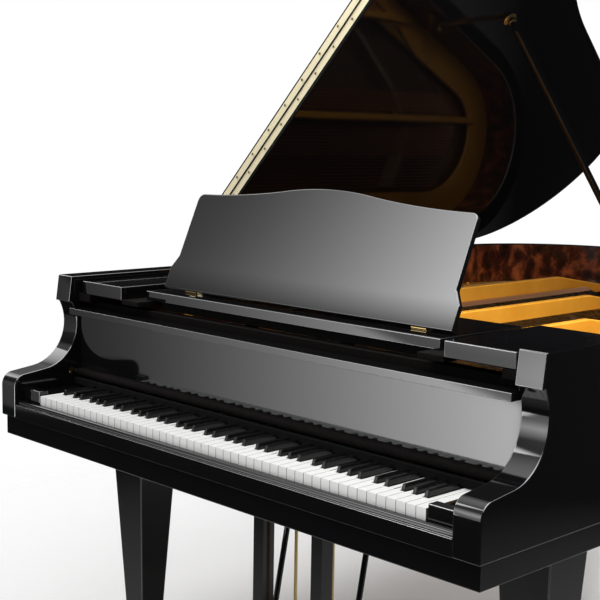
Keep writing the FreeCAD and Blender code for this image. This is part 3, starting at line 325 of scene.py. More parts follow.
def burl():
    """Clouded figure with small eyes, under a clear coat."""
    finish, tree, shader, coordinates = new_finish("burl_veneer", Roughness=0.3, Coat_Weight=0.5,
                                                   Coat_Roughness=0.05)
    place = add(tree, "ShaderNodeMapping", {"Vector": coordinates, "Scale": BURL_STRETCH}).outputs["Vector"]
    cloud = add(tree, "ShaderNodeTexNoise", {"Vector": place, "Scale": 17.0, "Detail": 10.0,
                                             "Roughness": 0.74, "Distortion": 0.7})
    eyes = add(tree, "ShaderNodeTexVoronoi", {"Vector": place, "Scale": 34.0, "Randomness": 1.0},
               feature="SMOOTH_F1")
    blend = figure(tree, "MULTIPLY_ADD", eyes.outputs["Distance"], EYES_SHARE, cloud.outputs["Fac"])
    tone = colour_ramp(tree, blend, (0.50, BURL_DARK), (0.64, BURL_RED), (0.84, BURL_PALE))
    feed(tree, shader, {"Base Color": tone})
    return finish


dress("rim_veneer", burl())

# Plate
# The plate is cast iron, sprayed with gold bronze lacquer. It keeps a little of the sand mould's texture, and
# its bars stand up as walls between the strings' sections. The plate's pin field under the shelf is painted
# black as painted shade, where the shelf shades it.
PLATE_EDGE = 0.004
SHADED_FIELD_SHORT = 0.02
GOLD_DEEP = (0.80, 0.335, 0.024)
GOLD_PALE = (0.95, 0.43, 0.045)


def gold_bronze():
    """Bronze lacquer over sand-cast iron, drifting a little in tone."""
    finish, tree, shader, coordinates = new_finish("gold_bronze", Metallic=0.15, Coat_Weight=0.4,
                                                   Coat_Roughness=0.12)
    drift = add(tree, "ShaderNodeTexNoise", {"Vector": coordinates, "Scale": 7.0, "Detail": 5.0})
    tone = colour_ramp(tree, drift.outputs["Fac"], (0.3, GOLD_DEEP), (0.7, GOLD_PALE))
    sand = add(tree, "ShaderNodeTexNoise", {"Vector": coordinates, "Scale": 420.0, "Detail": 3.0})
    gloss = add(tree, "ShaderNodeMapRange", {"Value": sand.outputs["Fac"], "To Min": 0.28, "To Max": 0.46})
    feed(tree, shader, {"Base Color": tone, "Roughness": gloss.outputs["Result"]})
    relief(tree, shader, sand.outputs["Fac"], strength=0.25, depth=0.0004)
    return finish


gold = gold_bronze()
# The plate's faces in front of this line, under the shelf, take the black finish as painted shade.
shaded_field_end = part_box("music_shelf")[1].y - SHADED_FIELD_SHORT
shaded_field_cut = ((0.0, shaded_field_end, 0.0), (0.0, 1.0, 0.0))
cast_plate = eased("plate", "cast_plate", PLATE_EDGE, gold, cut=shaded_field_cut)
painted(cast_plate, black_stain_and_shade, lambda face: face.center.y < shaded_field_end)
fitted(cast_plate, "case", "gold_plate", "plate")

# Strings
# The bass strings are steel wound with copper, one or two to a note, and the rest are plain steel, three to
# a note. Each runs level from its tuning pin, through an agraffe and over the bridge, to a hitch pin.
STRING_PITCH = 0.0034
SINGLE_NOTES = 10
ROW_DIGITS = 4
WIRE_SIDES = 6
CREASE_ANGLE = math.radians(50.0)


def islands(node):
    """The lowest and highest corners of each separate solid of a CAD node, from the bass up."""
    work = welded(node)
    left = set(work.verts)
    found = []
    while left:
        pile = [left.pop()]
        corners = []
        while pile:
            vert = pile.pop()
            corners.append(vert.co.copy())
            for edge in vert.link_edges:
                other = edge.other_vert(vert)
                if other in left:
                    left.remove(other)
                    pile.append(other)
        low = Vector([min(corner[axis] for corner in corners) for axis in range(3)])
        high = Vector([max(corner[axis] for corner in corners) for axis in range(3)])
        found.append((low, high))
    work.free()
    return sorted(found, key=lambda pair: tuple(pair[0]))


def polished_metal(name, colour, glossy, hazy, metallic=1.0):
    """Rubbed metal, its gloss drifting between two values."""
    return rubbed(name, scale=60.0, glossy=glossy, hazy=hazy, depth=0.00005, Base_Color=(*colour, 1.0),
                  Metallic=metallic)


def copper_winding():
    """Copper wire wound close round a steel core."""
    finish, tree, shader, coordinates = new_finish("copper_winding", Base_Color=(0.70, 0.36, 0.21, 1.0),
                                                   Metallic=1.0, Roughness=0.32)
    turns = add(tree, "ShaderNodeTexWave", {"Vector": coordinates, "Scale": 260.0}, bands_direction="Y")
    relief(tree, shader, turns.outputs["Fac"], strength=0.7, depth=0.0005)
    return finish


# The steel is far darker than bare steel: painted shade on the strings and hitch pins inside the case.
steel = polished_metal("steel_darkened_as_shade", (0.15, 0.13, 0.11), glossy=0.22, hazy=0.36)
brass = polished_metal("polished_brass", (0.86, 0.63, 0.27), glossy=0.12, hazy=0.24)
nickel = polished_metal("nickel_plate", (0.62, 0.61, 0.58), glossy=0.18, hazy=0.3)
copper = copper_winding()


def coated(tree, geometry, finish, result):
    """End a geometry tree: what it grew, as plain geometry in a finish."""
    whole = add(tree, "GeometryNodeRealizeInstances", {"Geometry": geometry})
    coat = add(tree, "GeometryNodeSetMaterial", {"Geometry": whole.outputs["Geometry"], "Material": finish})
    add(tree, "NodeGroupOutput", {result: coat.outputs["Geometry"]})


def wire_tree():
    """Round wire along every edge of a mesh."""
    tree, given = new_group("round_wire", "GeometryNodeTree",
                            {"Lines": "Geometry", "Radius": "Float", "Sides": "Int", "Finish": "Material"},
                            {"Wire": "Geometry"})
    path = add(tree, "GeometryNodeMeshToCurve", {"Mesh": given["Lines"]})
    ring = add(tree, "GeometryNodeCurvePrimitiveCircle", {"Radius": given["Radius"],
                                                          "Resolution": given["Sides"]})
    tube = add(tree, "GeometryNodeCurveToMesh", {"Curve": path.outputs["Curve"],
                                                 "Profile Curve": ring.outputs["Curve"], "Fill Caps": True})
    coated(tree, tube.outputs["Mesh"], given["Finish"], "Wire")
    return tree


def grown(piece, tree, **inputs):
    """Run a node tree on a piece with named inputs, and keep the result as plain mesh."""
    growth = piece.modifiers.new("growth", "NODES")
    growth.node_group = tree
    for item in tree.interface.items_tree:
        if item.in_out == "INPUT" and item.name in inputs:
            growth[item.identifier] = inputs[item.name]
    settle(piece)
    piece.data.polygons.foreach_set("use_smooth", [True] * len(piece.data.polygons))
    piece.data.set_sharp_from_angle(angle=CREASE_ANGLE)
    return piece


round_wire = wire_tree()


def lines_piece(name, lines):
    """A piece of bare edges, one for each pair of points."""
    mesh = bpy.data.meshes.new(name)
    points = [point for line in lines for point in line]
    mesh.from_pydata(points, [(at, at + 1) for at in range(0, len(points), 2)], [])
    return new_piece(name, mesh)


notes = islands("strings")
WOUND_RADIUS = (notes[0][1].z - notes[0][0].z) / 2
PLAIN_RADIUS = (notes[-1][1].z - notes[-1][0].z) / 2
wound_lines, plain_lines, pin_places, hitch_places, agraffe_lines = [], [], [], [], []
pin_rows = sorted({round(low.y, ROW_DIGITS) for low, high in notes}, reverse=True)
for number, (low, high) in enumerate(notes):
    middle = (low + high) / 2
    wound = high.z - low.z > WOUND_RADIUS + PLAIN_RADIUS
    count = 3 if not wound else 1 if number < SINGLE_NOTES else 2
    agraffe_lines.append(middle.x)
    for own in range(count):
        x = middle.x + (own - (count - 1) / 2) * STRING_PITCH
        start = Vector((x, pin_rows[(number + own) % len(pin_rows)], middle.z))
        end = Vector((x, high.y, middle.z))
        (wound_lines if wound else plain_lines).append((start, end))
        pin_places.append(start)
        hitch_places.append(end)
for name, lines, radius, finish in (("wound_strings", wound_lines, WOUND_RADIUS, copper),
                                    ("plain_strings", plain_lines, PLAIN_RADIUS, steel)):
    wire = grown(lines_piece(name, lines), round_wire, Radius=radius, Sides=WIRE_SIDES, Finish=finish)
    fitted(wire, "case", "steel", "strings")

# Tuning pins, agraffes, hitch pins and plate bolts
# Each string winds round a nickel-plated pin driven into the pinblock. Brass agraffes hold the strings' line,
# hitch pins hold their far ends, and domed bolts hold the plate to the inner rim.
PIN_RADIUS = 0.0034
PIN_HEIGHT = 0.028
PIN_SIDES = 8
PIN_EASED_SHARE = 0.8
COIL_RADIUS = 0.0044
COIL_BAND = 0.0052
AGRAFFE_RADIUS = 0.0032
AGRAFFE_SHARES = ((1.25, 0.0), (1.25, 0.3), (0.8, 0.36), (1.0, 0.6), (0.8, 1.0))
HITCH_RADIUS = 0.0015
HITCH_HEIGHT = 0.012
HITCH_SHARES = ((1.0, 0.0), (1.0, 1.0), (0.6, 1.1))
BOLT_NARROWEST = AGRAFFE_RADIUS * 3
BOLT_WASHER = (0.008, 0.0015)
BOLT_HEAD = ((0.0066, 0.0015), (0.0066, 0.0055), (0.0052, 0.0075), (0.003, 0.0084))
BOLT_SIDES = 16
SPIN_SEED = 7


def scatter_tree():
    """One small shape set at every point, each turned about its own axis by a random amount up to a limit."""
    tree, given = new_group("set_in_rows", "GeometryNodeTree",
                            {"Places": "Geometry", "Shape": "Object", "Turn": "Rotation", "Spin": "Float",
                             "Seed": "Int", "Finish": "Material"}, {"Set": "Geometry"})
    shape = add(tree, "GeometryNodeObjectInfo", {"Object": given["Shape"]})
    spin = add(tree, "FunctionNodeRandomValue", {3: given["Spin"], "Seed": given["Seed"]}, data_type="FLOAT")
    euler = add(tree, "ShaderNodeCombineXYZ", {"Z": spin.outputs[1]})
    own = add(tree, "FunctionNodeEulerToRotation", {"Euler": euler.outputs["Vector"]})
    turned = add(tree, "FunctionNodeRotateRotation", {"Rotation": given["Turn"],
                                                      "Rotate By": own.outputs["Rotation"]},
                 rotation_space="LOCAL")
    copies = add(tree, "GeometryNodeInstanceOnPoints", {"Points": given["Places"],
                                                        "Instance": shape.outputs["Geometry"],
                                                        "Rotation": turned.outputs["Rotation"]})
    coated(tree, copies.outputs["Instances"], given["Finish"], "Set")
    return tree


set_in_rows = scatter_tree()


def lathe(profile, sides):
    """A closed turned shape about Z from pairs of radius and height, lowest first."""
    work = bmesh.new()
    rings = []
    for radius, height in profile:
        ring = []
        for side in range(sides):
            angle = math.tau * side / sides
            ring.append(work.verts.new((radius * math.cos(angle), radius * math.sin(angle), height)))
        rings.append(ring)
    for below, above in zip(rings, rings[1:]):
        for side in range(sides):
            after = (side + 1) % sides
            work.faces.new((below[side], below[after], above[after], above[side]))
    work.faces.new(rings[0][::-1])
    work.faces.new(rings[-1])
    return work


def scaled(shares, radius, height):
    """A profile to turn, from shares of a radius and a height."""
    return [(radius * across, height * along) for across, along in shares]


def set_rows(name, places, shape, finish, turn=(0.0, 0.0, 0.0), spin=math.tau):
    """A piece made of one small shape at many places."""
    pattern = shaped("pattern", shape)
    mesh = bpy.data.meshes.new(name)
    mesh.from_pydata(places, [], [])
    piece = new_piece(name, mesh)
    grown(piece, set_in_rows, Shape=pattern, Turn=turn, Spin=spin, Seed=SPIN_SEED, Finish=finish)
    bpy.data.objects.remove(pattern)
    return piece


plate_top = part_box("tuning_pins")[0].z
string_line = (notes[-1][0].z + notes[-1][1].z) / 2 - plate_top
coil_low = string_line - COIL_BAND
pin_profile = [(PIN_RADIUS, 0.0), (PIN_RADIUS, coil_low), (COIL_RADIUS, coil_low), (COIL_RADIUS, string_line),
               (PIN_RADIUS, string_line), (PIN_RADIUS, PIN_HEIGHT * PIN_EASED_SHARE),
               (PIN_RADIUS * PIN_EASED_SHARE, PIN_HEIGHT)]
beside = PIN_RADIUS + PLAIN_RADIUS
pins = set_rows("wound_tuning_pins", [(place.x + beside, place.y, plate_top) for place in pin_places],
                lathe(pin_profile, PIN_SIDES), nickel)
fitted(pins, "case", "steel", "tuning_pins")
fittings = islands("plate_fittings")
agraffe_y = min((low.y + high.y) / 2 for low, high in fittings)
agraffe_height = string_line + AGRAFFE_RADIUS
agraffe_profile = scaled(AGRAFFE_SHARES, AGRAFFE_RADIUS, agraffe_height)
studs = set_rows("brass_agraffes", [(x, agraffe_y, plate_top) for x in agraffe_lines],
                 lathe(agraffe_profile, PIN_SIDES), brass)
fitted(studs, "case", "brass", "plate_fittings")
hitch_profile = scaled(HITCH_SHARES, HITCH_RADIUS, HITCH_HEIGHT)
hitches = set_rows("hitch_pins", [(place.x, place.y, plate_top) for place in hitch_places],
                   lathe(hitch_profile, WIRE_SIDES), steel)
fitted(hitches, "case", "steel")
bolt_profile = [(BOLT_WASHER[0], 0.0), BOLT_WASHER, *BOLT_HEAD]
bolt_places = [((low.x + high.x) / 2, (low.y + high.y) / 2, plate_top) for low, high in fittings
               if high.x - low.x > BOLT_NARROWEST]
bolts = set_rows("plate_bolts", bolt_places, lathe(bolt_profile, BOLT_SIDES), gold)
fitted(bolts, "case", "gold_plate", "plate_fittings")

# Dampers
# Each damper is a black lacquered wooden head with a wedge of white felt glued under it. It rests on its
# string by its own weight, and a wire lifts it with the key or the pedal.
FELT_SHARE = 0.34
FELT_FOOT_SHARE = 0.4
HEAD_EDGE = 0.001
NAP_DARK_SHARE = 0.75


def woolly(name, colour, sheen=0.4):
    """Pressed felt: a matt, slightly mottled cloth with a fine nap."""
    finish, tree, shader, coordinates = new_finish(name, Roughness=0.95, Sheen_Weight=sheen,
                                                   Specular_IOR_Level=0.05)
    nap = add(tree, "ShaderNodeTexNoise", {"Vector": coordinates, "Scale": 900.0,
                                           "Detail": 4.0}).outputs["Fac"]
    tone = colour_ramp(tree, nap, (0.0, [value * NAP_DARK_SHARE for value in colour]), (1.0, colour))
    feed(tree, shader, {"Base Color": tone})
    relief(tree, shader, nap, strength=0.5, depth=0.0006)
    return finish


white_felt = woolly("white_felt", (0.80, 0.78, 0.72))


def block(low, high):
    """A box between two corners."""
    work = bmesh.new()
    bmesh.ops.create_cube(work, size=1.0)
    low, high = Vector(low), Vector(high)
    for vert in work.verts:
        vert.co = (low + high) / 2 + vert.co * (high - low)
    return work


def tapered_block(low, high, share):
    """A box whose foot is narrower across than its top."""
    work = block(low, high)
    middle = (low[0] + high[0]) / 2
    for vert in work.verts:
        if vert.co.z < (low[2] + high[2]) / 2:
            vert.co.x = middle + (vert.co.x - middle) * share
    return work


damper_boxes = islands("dampers")
wide, deep, tall = damper_boxes[0][1] - damper_boxes[0][0]
feet = [((low.x + high.x) / 2, low.y, low.z) for low, high in damper_boxes]
felt_top = tall * FELT_SHARE
wedge = tapered_block((-wide / 2, 0.0, 0.0), (wide / 2, deep, felt_top), FELT_FOOT_SHARE)
felts = set_rows("damper_felts", feet, wedge, white_felt, spin=0.0)
fitted(felts, "dampers", "felt", "dampers")
head = block((-wide / 2, 0.0, felt_top), (wide / 2, deep, tall))
bmesh.ops.bevel(head, geom=head.edges, offset=HEAD_EDGE, segments=1, affect="EDGES")
heads = set_rows("damper_heads", feet, head, lacquer, spin=0.0)
fitted(heads, "dampers", "black_polish", "dampers")

# Keyboard
# White keys are spruce sticks topped and fronted with white acrylic, their edges barely eased. Their sides,
# backs and undersides are painted dark brown as painted shade in the gaps between the keys. The sharps are
# black, narrower at the top than at the foot, with softly rounded backs.
WHITE_EDGE = 0.0004
SIDE_STEEP = 0.55
UNDER_STEEP = -0.5
COVERED_SHARE = 0.34
SHARP_EDGE = 0.0013
SHARP_TOP_SHARE = 0.84
SHARP_ROOM = 1e-4
SHARPS = ("c_sharp", "d_sharp", "f_sharp", "g_sharp", "a_sharp")
WHITES = ("c", "d", "e", "f", "g", "a", "b")
white_top = rubbed("white_acrylic", scale=30.0, glossy=0.1, hazy=0.2, depth=0.00003, IOR=1.2,
                   Base_Color=(0.88, 0.88, 0.87, 1.0), Subsurface_Weight=0.06,
                   Subsurface_Radius=(0.004, 0.004, 0.003))
black_top = rubbed("black_satin", scale=50.0, glossy=0.16, hazy=0.28, depth=0.00005, IOR=1.36,
                   Base_Color=(0.005, 0.005, 0.005, 1.0))
# Spruce grain, darkened far below the wood's own tone as painted shade between the keys.
shaded_key_wood = wood("key_spruce_in_painted_shade", pale=(0.12, 0.085, 0.05), dark=(0.08, 0.055, 0.03), grain=12.0, roughness=0.7)
white_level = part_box("keys_c")[1].z
for note in WHITES:
    low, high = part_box(f"keys_{note}")
    covered = low.y + (high.y - low.y) * COVERED_SHARE
    cover_cut = ((0.0, covered, 0.0), (0.0, 1.0, 0.0))
    key = eased(f"keys_{note}", f"white_keys_{note}", WHITE_EDGE, white_top, segments=2, cut=cover_cut)
    # The sides, backs and undersides take the dark wood: painted shade in the gaps between keys.
    painted(key, shaded_key_wood, lambda face: (face.center.y > covered or abs(face.normal.x) > SIDE_STEEP
                                         or face.normal.z < UNDER_STEEP))
    fitted(key, f"keys_{note}", "ivory_white", f"keys_{note}")
for note in SHARPS:
    work = merged_copy(f"keys_{note}")
    lengths = islands(f"keys_{note}")
    for vert in work.verts:
        if vert.co.z > white_level + MERGE_DISTANCE:
            low, high = next(pair for pair in lengths
                             if pair[0].x - SHARP_ROOM < vert.co.x < pair[1].x + SHARP_ROOM)
            middle = (low.x + high.x) / 2
            vert.co.x = middle + (vert.co.x - middle) * SHARP_TOP_SHARE
    key = rounded(shaped(f"black_keys_{note}", work, black_top), SHARP_EDGE)
    fitted(key, f"keys_{note}", "ebony_black", f"keys_{note}")

# Key strip
# A strip of black felt closes the gap between the backs of the sharps and the fallboard's bead. It is glued
# along the case, clear of the keys.
STRIP_FRONT = 0.148
STRIP_BACK = 0.162
STRIP_CLEAR = 0.0015
STRIP_HIGH = 0.0185
STRIP_EDGE = 0.002
black_felt = woolly("black_felt", (0.006, 0.006, 0.0065), sheen=0.02)
key_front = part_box("keys_c")[0].y
bead_low, bead_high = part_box("fallboard")
strip = block((bead_low.x, key_front + STRIP_FRONT, white_level + STRIP_CLEAR),
              (bead_high.x, key_front + STRIP_BACK, white_level + STRIP_HIGH))
fitted(rounded(shaped("key_strip", strip, black_felt), STRIP_EDGE), "case", "felt")

# Key frame and action
# The keys rock on a hardwood frame that lies on the keybed. Behind the nameboard stand the maple action
# rails, screwed to the frame, and the hammers with their pressed felt heads.
for node in ("key_frame", "action_frame"):
    dress(node, maple)
dress("hammers", white_felt)

# Keybed, key slip, blocks and fallboard
# These are hardwood, lacquered like the case. The fallboard turns on brass pins in a round bead along its
# lower edge, and a round brass plate sits on each arm's inner face.
BED_EDGE = 0.002
SLIP_EDGE = 0.0015
FALL_EDGE = 0.002
BEAD_TOP = 0.026
PIVOT_EDGE = 0.0004
COVER_RADIUS = 0.010
COVER_THICK = 0.0012
COVER_SHARES = ((1.0, 0.0), (1.0, 0.7), (0.94, 1.0))
COVER_BEHIND = 0.010
COVER_OVER_KEYS = 0.036
COVER_SIDES = 28
for node, name, width in (("keybed", "bed", BED_EDGE), ("key_slip", "slip", SLIP_EDGE),
                          ("key_blocks", "cheek_blocks", SLIP_EDGE), ("nameboard", "name_rail", SLIP_EDGE)):
    faced(node, name, width, lacquer, "case", "black_polish")
cover = eased("fallboard", "key_cover", FALL_EDGE, lacquer)
painted(cover, black_stain_and_shade, lambda face: face.center.z < bead_low.z + BEAD_TOP)
fitted(cover, "fallboard", "black_polish", "fallboard")
faced("fallboard_pivots", "cover_pivots", PIVOT_EDGE, brass, "case", "brass")
cover_profile = scaled(COVER_SHARES, COVER_RADIUS, COVER_THICK)
slip_low, slip_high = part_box("key_slip")
for side, x, way in (("left", slip_low.x, 1), ("right", slip_high.x, -1)):
    place = (x, bead_low.y + COVER_BEHIND, white_level + COVER_OVER_KEYS)
    round_plate = set_rows(f"{side}_cover_plate", [place], lathe(cover_profile, COVER_SIDES), brass,
                           turn=(0.0, way * math.pi / 2, 0.0), spin=0.0)
    fitted(round_plate, "case", "brass")

# Music desk
# The desk's panel is lacquered board with a curved top. It hinges on a shelf that slides between the blocks,
# and a brass stay holds it up. A black board under the shelf's front is a dark sheet put where there is only
# shade: painted shade over the gap behind the fallboard.
DESK_EDGE = 0.003
SHELF_EDGE = 0.002
BUTT_EDGE = 0.0005
STAY_EDGE = 0.0008
SHADE_BOARD_EDGE = 0.001
SHADE_BOARD_BEHIND = 0.0165
SHADE_BOARD_THICK = 0.012
SHADE_BOARD_SHORT = 0.04
SHADE_BOARD_SUNK = 0.0005
SHADE_BOARD_CLEAR = 0.0025
shelf_low, shelf_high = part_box("music_shelf")
side_blocks = eased("desk_side_blocks", "side_blocks", SHELF_EDGE, lacquer)
painted(side_blocks, black_stain_and_shade, lambda face: face.center.z < shelf_low.z)
fitted(side_blocks, "case", "black_polish", "desk_side_blocks")
faced("music_shelf", "shelf_board", SHELF_EDGE, lacquer, "shelf", "black_polish")
# A black board under the shelf's front, put there as painted shade over the gap to the fallboard.
shade_board_front = shelf_low.y + SHADE_BOARD_BEHIND
shade_board = block((shelf_low.x + SHADE_BOARD_SHORT, shade_board_front, block_box[1].z + SHADE_BOARD_CLEAR),
               (shelf_high.x - SHADE_BOARD_SHORT, shade_board_front + SHADE_BOARD_THICK, shelf_low.z + SHADE_BOARD_SUNK))
fitted(rounded(shaped("shelf_batten", shade_board, black_stain_and_shade), SHADE_BOARD_EDGE), "shelf", "black_polish")
faced("music_desk", "desk_panel", DESK_EDGE, lacquer, "desk", "black_polish")
faced("desk_hinges", "desk_butts", BUTT_EDGE, brass, "shelf", "brass")
faced("desk_strut", "desk_stay", STAY_EDGE, brass, "strut", "brass")

# Lid
# The main lid and its front flap are lacquered boards with rounded edges, joined by a long brass hinge whose
# screws are staggered along both leaves. Three brass hinges hold the lid on the spine.
LID_EDGE = 0.004
LID_INDEX = 1.27
SPINE_HINGE_EDGE = 0.0008
LEAF_EDGE = 0.0003
LEAF_MIDDLE = 0.0122
KNUCKLE_REACH = 0.0032
BRASS_REACH = 0.0205
SCREW_PITCH = 0.088
SCREW_RADIUS = 0.0032
SCREW_PROUD = 0.0004
SCREW_SHARES = ((1.0, 0.0), (0.96, 1.0))
SCREW_SUNK = 0.0003
SCREW_SIDES = 14
SLOT_SHARE = 0.18
SLOT_FLOOR_SHARE = 0.1
FACING_UP = 0.9
END_ROOM = 0.035
lid_lacquer = black_lacquer("lid_lacquer", LID_INDEX)
faced("main_lid", "lid_panel", LID_EDGE, lid_lacquer, "lid", "black_polish")
faced("front_flap", "flap_panel", LID_EDGE, lid_lacquer, "flap", "black_polish")
pale_brass = polished_metal("pale_brass", (1.0, 0.89, 0.60), glossy=0.25, hazy=0.4, metallic=0.1)
aged_brass = polished_metal("aged_brass", (0.20, 0.15, 0.07), glossy=0.3, hazy=0.45)
fold_line = Vector(joints["flap_fold"]["pos_m"])
fold_axis = Vector(joints["flap_fold"]["axis"]).normalized()
out = Vector((0.0, -1.0, 0.0))
down = fold_axis if fold_axis.z < 0 else -fold_axis
up = down.cross(out)
if up.z < 0:
    up = -up


def off_the_brass(face):
    """True on a leaf's knuckle and past its brass."""
    away = (face.center - fold_line).cross(fold_axis).length
    return not KNUCKLE_REACH < away < BRASS_REACH


for node, name, body, way in (("flap_hinge_lid_leaf", "long_hinge_lower", "lid", -1),
                              ("flap_hinge_flap_leaf", "long_hinge_upper", "flap", 1)):
    brass_cut = (fold_line + up * (way * BRASS_REACH), up)
    leaf = eased(node, name, LEAF_EDGE, pale_brass, segments=1, cut=brass_cut)
    # The knuckle is black satin as painted shade along the fold; past its brass the leaf is black satin too.
    painted(leaf, black_top, off_the_brass)
    fitted(leaf, body, "brass", node)
faced("lid_hinge_brackets", "spine_hinge_case", SPINE_HINGE_EDGE, brass, "case", "brass")
faced("lid_hinge_leaves", "spine_hinge_lid", SPINE_HINGE_EDGE, brass, "lid", "brass")


def screw_head():
    """A flat slotted head: a disc cut across by a narrow slot."""
    work = lathe(scaled(SCREW_SHARES, SCREW_RADIUS, SCREW_PROUD), SCREW_SIDES)
    slot = SCREW_RADIUS * SLOT_SHARE
    for side in (-slot, slot):
        divided(work, (0.0, side, 0.0), (0.0, 1.0, 0.0))
    for face in list(work.faces):
        if abs(face.calc_center_median().y) < slot and face.normal.z > FACING_UP:
            inner = bmesh.ops.extrude_discrete_faces(work, faces=[face])["faces"]
            for vert in inner[0].verts:
                vert.co.z = SCREW_PROUD * SLOT_FLOOR_SHARE
    return work


leaf_low, leaf_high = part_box("flap_hinge_lid_leaf")
run = (leaf_high.x - leaf_low.x) / abs(down.x) - END_ROOM * 2
top_end = fold_line + down * ((leaf_high.x - fold_line.x) / down.x + END_ROOM)
screw_turn = Matrix((down, out.cross(down), out)).transposed().to_euler()
for name, body, way, start in (("lower_hinge_screws", "lid", -1, 0.0),
                               ("upper_hinge_screws", "flap", 1, SCREW_PITCH / 2)):
    places = []
    for number in range(int((run - start) / SCREW_PITCH) + 1):
        place = top_end + down * (start + number * SCREW_PITCH) + up * (way * LEAF_MIDDLE)
        place.y = leaf_low.y + SCREW_SUNK
        places.append(place)
    fitted(set_rows(name, places, screw_head(), aged_brass, turn=screw_turn), body, "brass")

# Lid prop
# The prop is a turned, lacquered stick that folds on a brass bracket fixed to the case. Its tip sits in a
# brass cup on the lid's underside.
STICK_EDGE = 0.001
BRACKET_EDGE = 0.0008
CUP_EDGE = 0.0006
CUP_SIDES = 24
CUP_REACH = 0.0135
CUP_FLANGE = ((0.020, 0.0), (0.020, 0.0022), (0.0185, 0.003))
CUP_WALL = ((0.0125, 0.003), (0.0115, 0.015), (0.008, 0.015), (0.0065, 0.005))
TIP_DEPTH = 1e-4


def stood(shape, base, along):
    """Stand a turned shape on a point, with its axis along a direction."""
    lay = Matrix.Translation(base) @ along.to_track_quat("Z", "Y").to_matrix().to_4x4()
    bmesh.ops.transform(shape, matrix=lay, verts=shape.verts)
    return shape


faced("lid_prop", "prop_stick", STICK_EDGE, lacquer, "prop", "black_polish")
faced("prop_bracket", "prop_foot", BRACKET_EDGE, brass, "case", "brass")
pivot = Vector(joints["prop_fold"]["pos_m"])
stick = [vert.co.copy() for vert in nodes["lid_prop"].data.vertices]
reach = max((place - pivot).length for place in stick)
ends = [place for place in stick if (place - pivot).length > reach - TIP_DEPTH]
tip = sum(ends, Vector()) / len(ends)
cup = stood(lathe(CUP_FLANGE + CUP_WALL, CUP_SIDES), tip + up * CUP_REACH, -up)
fitted(rounded(shaped("prop_cup", cup, brass), CUP_EDGE, segments=2), "lid", "brass")

# Legs and casters
# Three square tapered legs of lacquered hardwood are fixed to plates under the case. Each stands in a brass
# ferrule on a brass caster, a fork that swivels and holds a solid wheel.
LEG_EDGE = 0.003
CASTER_EDGE = 0.001
WHEEL_EDGE = 0.002
faced("legs", "tapered_legs", LEG_EDGE, lacquer, "case", "black_polish")
faced("leg_ferrules", "ferrules", CASTER_EDGE, brass, "case", "brass")
for side in ("left", "right", "rear"):
    faced(f"{side}_caster_fork", f"{side}_fork", CASTER_EDGE, brass, f"{side}_caster", "brass")
    faced(f"{side}_caster_wheel", f"{side}_roller", WHEEL_EDGE, brass, f"{side}_wheel", "brass")

# Lyre and pedals
# The lyre hangs under the keybed, braced from behind by two turned sticks that stand on its box. The box
# holds three brass pedals with rounded toes, and each works a brass rod.
LYRE_EDGE = 0.003
PEDAL_EDGE = 0.002
ROD_EDGE = 0.0006
BRACE_WIDEST = 0.03
FOOT_PROUD = 0.0012
FOOT_RISE = 0.088
FOOT_SUNK = 0.005
FOOT_SIDES = 24
faced("lyre", "lyre_frame", LYRE_EDGE, lacquer, "case", "black_polish")
faced("pedal_box", "lyre_box", LYRE_EDGE, lacquer, "case", "black_polish")
box_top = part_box("pedal_box")[1].z
for low, high in islands("lyre"):
    if high.x - low.x > BRACE_WIDEST:
        continue
    radius = (high.x - low.x) / 2
    along = Vector((0.0, high.y - low.y, high.z - low.z)).normalized()
    back = Vector(((low.x + high.x) / 2, low.y, low.z)) + along * ((box_top - low.z) / along.z)
    base = back - along.cross(Vector((1.0, 0.0, 0.0))) * radius - along * FOOT_SUNK
    foot_profile = [(radius + FOOT_PROUD, 0.0), (radius + FOOT_PROUD, FOOT_RISE)]
    foot = stood(lathe(foot_profile, FOOT_SIDES), base, along)
    side = "left" if low.x < 0.0 else "right"
    fitted(rounded(shaped(f"{side}_brace_foot", foot, lacquer), FOOT_PROUD / 2), "case", "black_polish")
for side in ("left", "middle", "right"):
    faced(f"{side}_pedal", f"{side}_pedal_lever", PEDAL_EDGE, brass, f"{side}_pedal", "brass")
    faced(f"{side}_pedal_rod", f"{side}_pull_rod", ROD_EDGE, brass, f"{side}_pedal_rod", "brass")

# Studio
# A plain pale floor that fades out, two soft lamps above, a standing light panel ahead of the keyboard, and a
# surround with a pale ceiling and left side. The lacquer mirrors the panel and the surround.
FLOOR_RADIUS = 2.5
FLOOR_SOLID = 1.2
FLOOR_SIDES = 96
FLOOR_TONE = (0.88, 0.88, 0.88, 1.0)
FLOOR_MIRRORED = (0.4, 0.4, 0.4, 1.0)


def pale_floor():
    """Matt and pale, fading out towards its rim, and darker in what mirrors it."""
    finish, tree, shader, coordinates = new_finish("pale_floor", Roughness=0.7)
    away = add(tree, "ShaderNodeVectorMath", {0: coordinates}, operation="LENGTH")
    fade = add(tree, "ShaderNodeMapRange", {"Value": away.outputs["Value"], "From Min": FLOOR_SOLID,
                                            "From Max": FLOOR_RADIUS, "To Min": 1.0, "To Max": 0.0})
    rays = add(tree, "ShaderNodeLightPath").outputs
    tone = add(tree, "ShaderNodeMix", data_type="RGBA")
    feed(tree, tone, {"Factor": rays["Is Glossy Ray"], "A": FLOOR_TONE, "B": FLOOR_MIRRORED})
    feed(tree, shader, {"Alpha": fade.outputs["Result"], "Base Color": tone.outputs["Result"]})
    return finish


floor_shape = bmesh.new()
bmesh.ops.create_circle(floor_shape, cap_ends=True, segments=FLOOR_SIDES, radius=FLOOR_RADIUS)
shaped("floor", floor_shape, pale_floor())

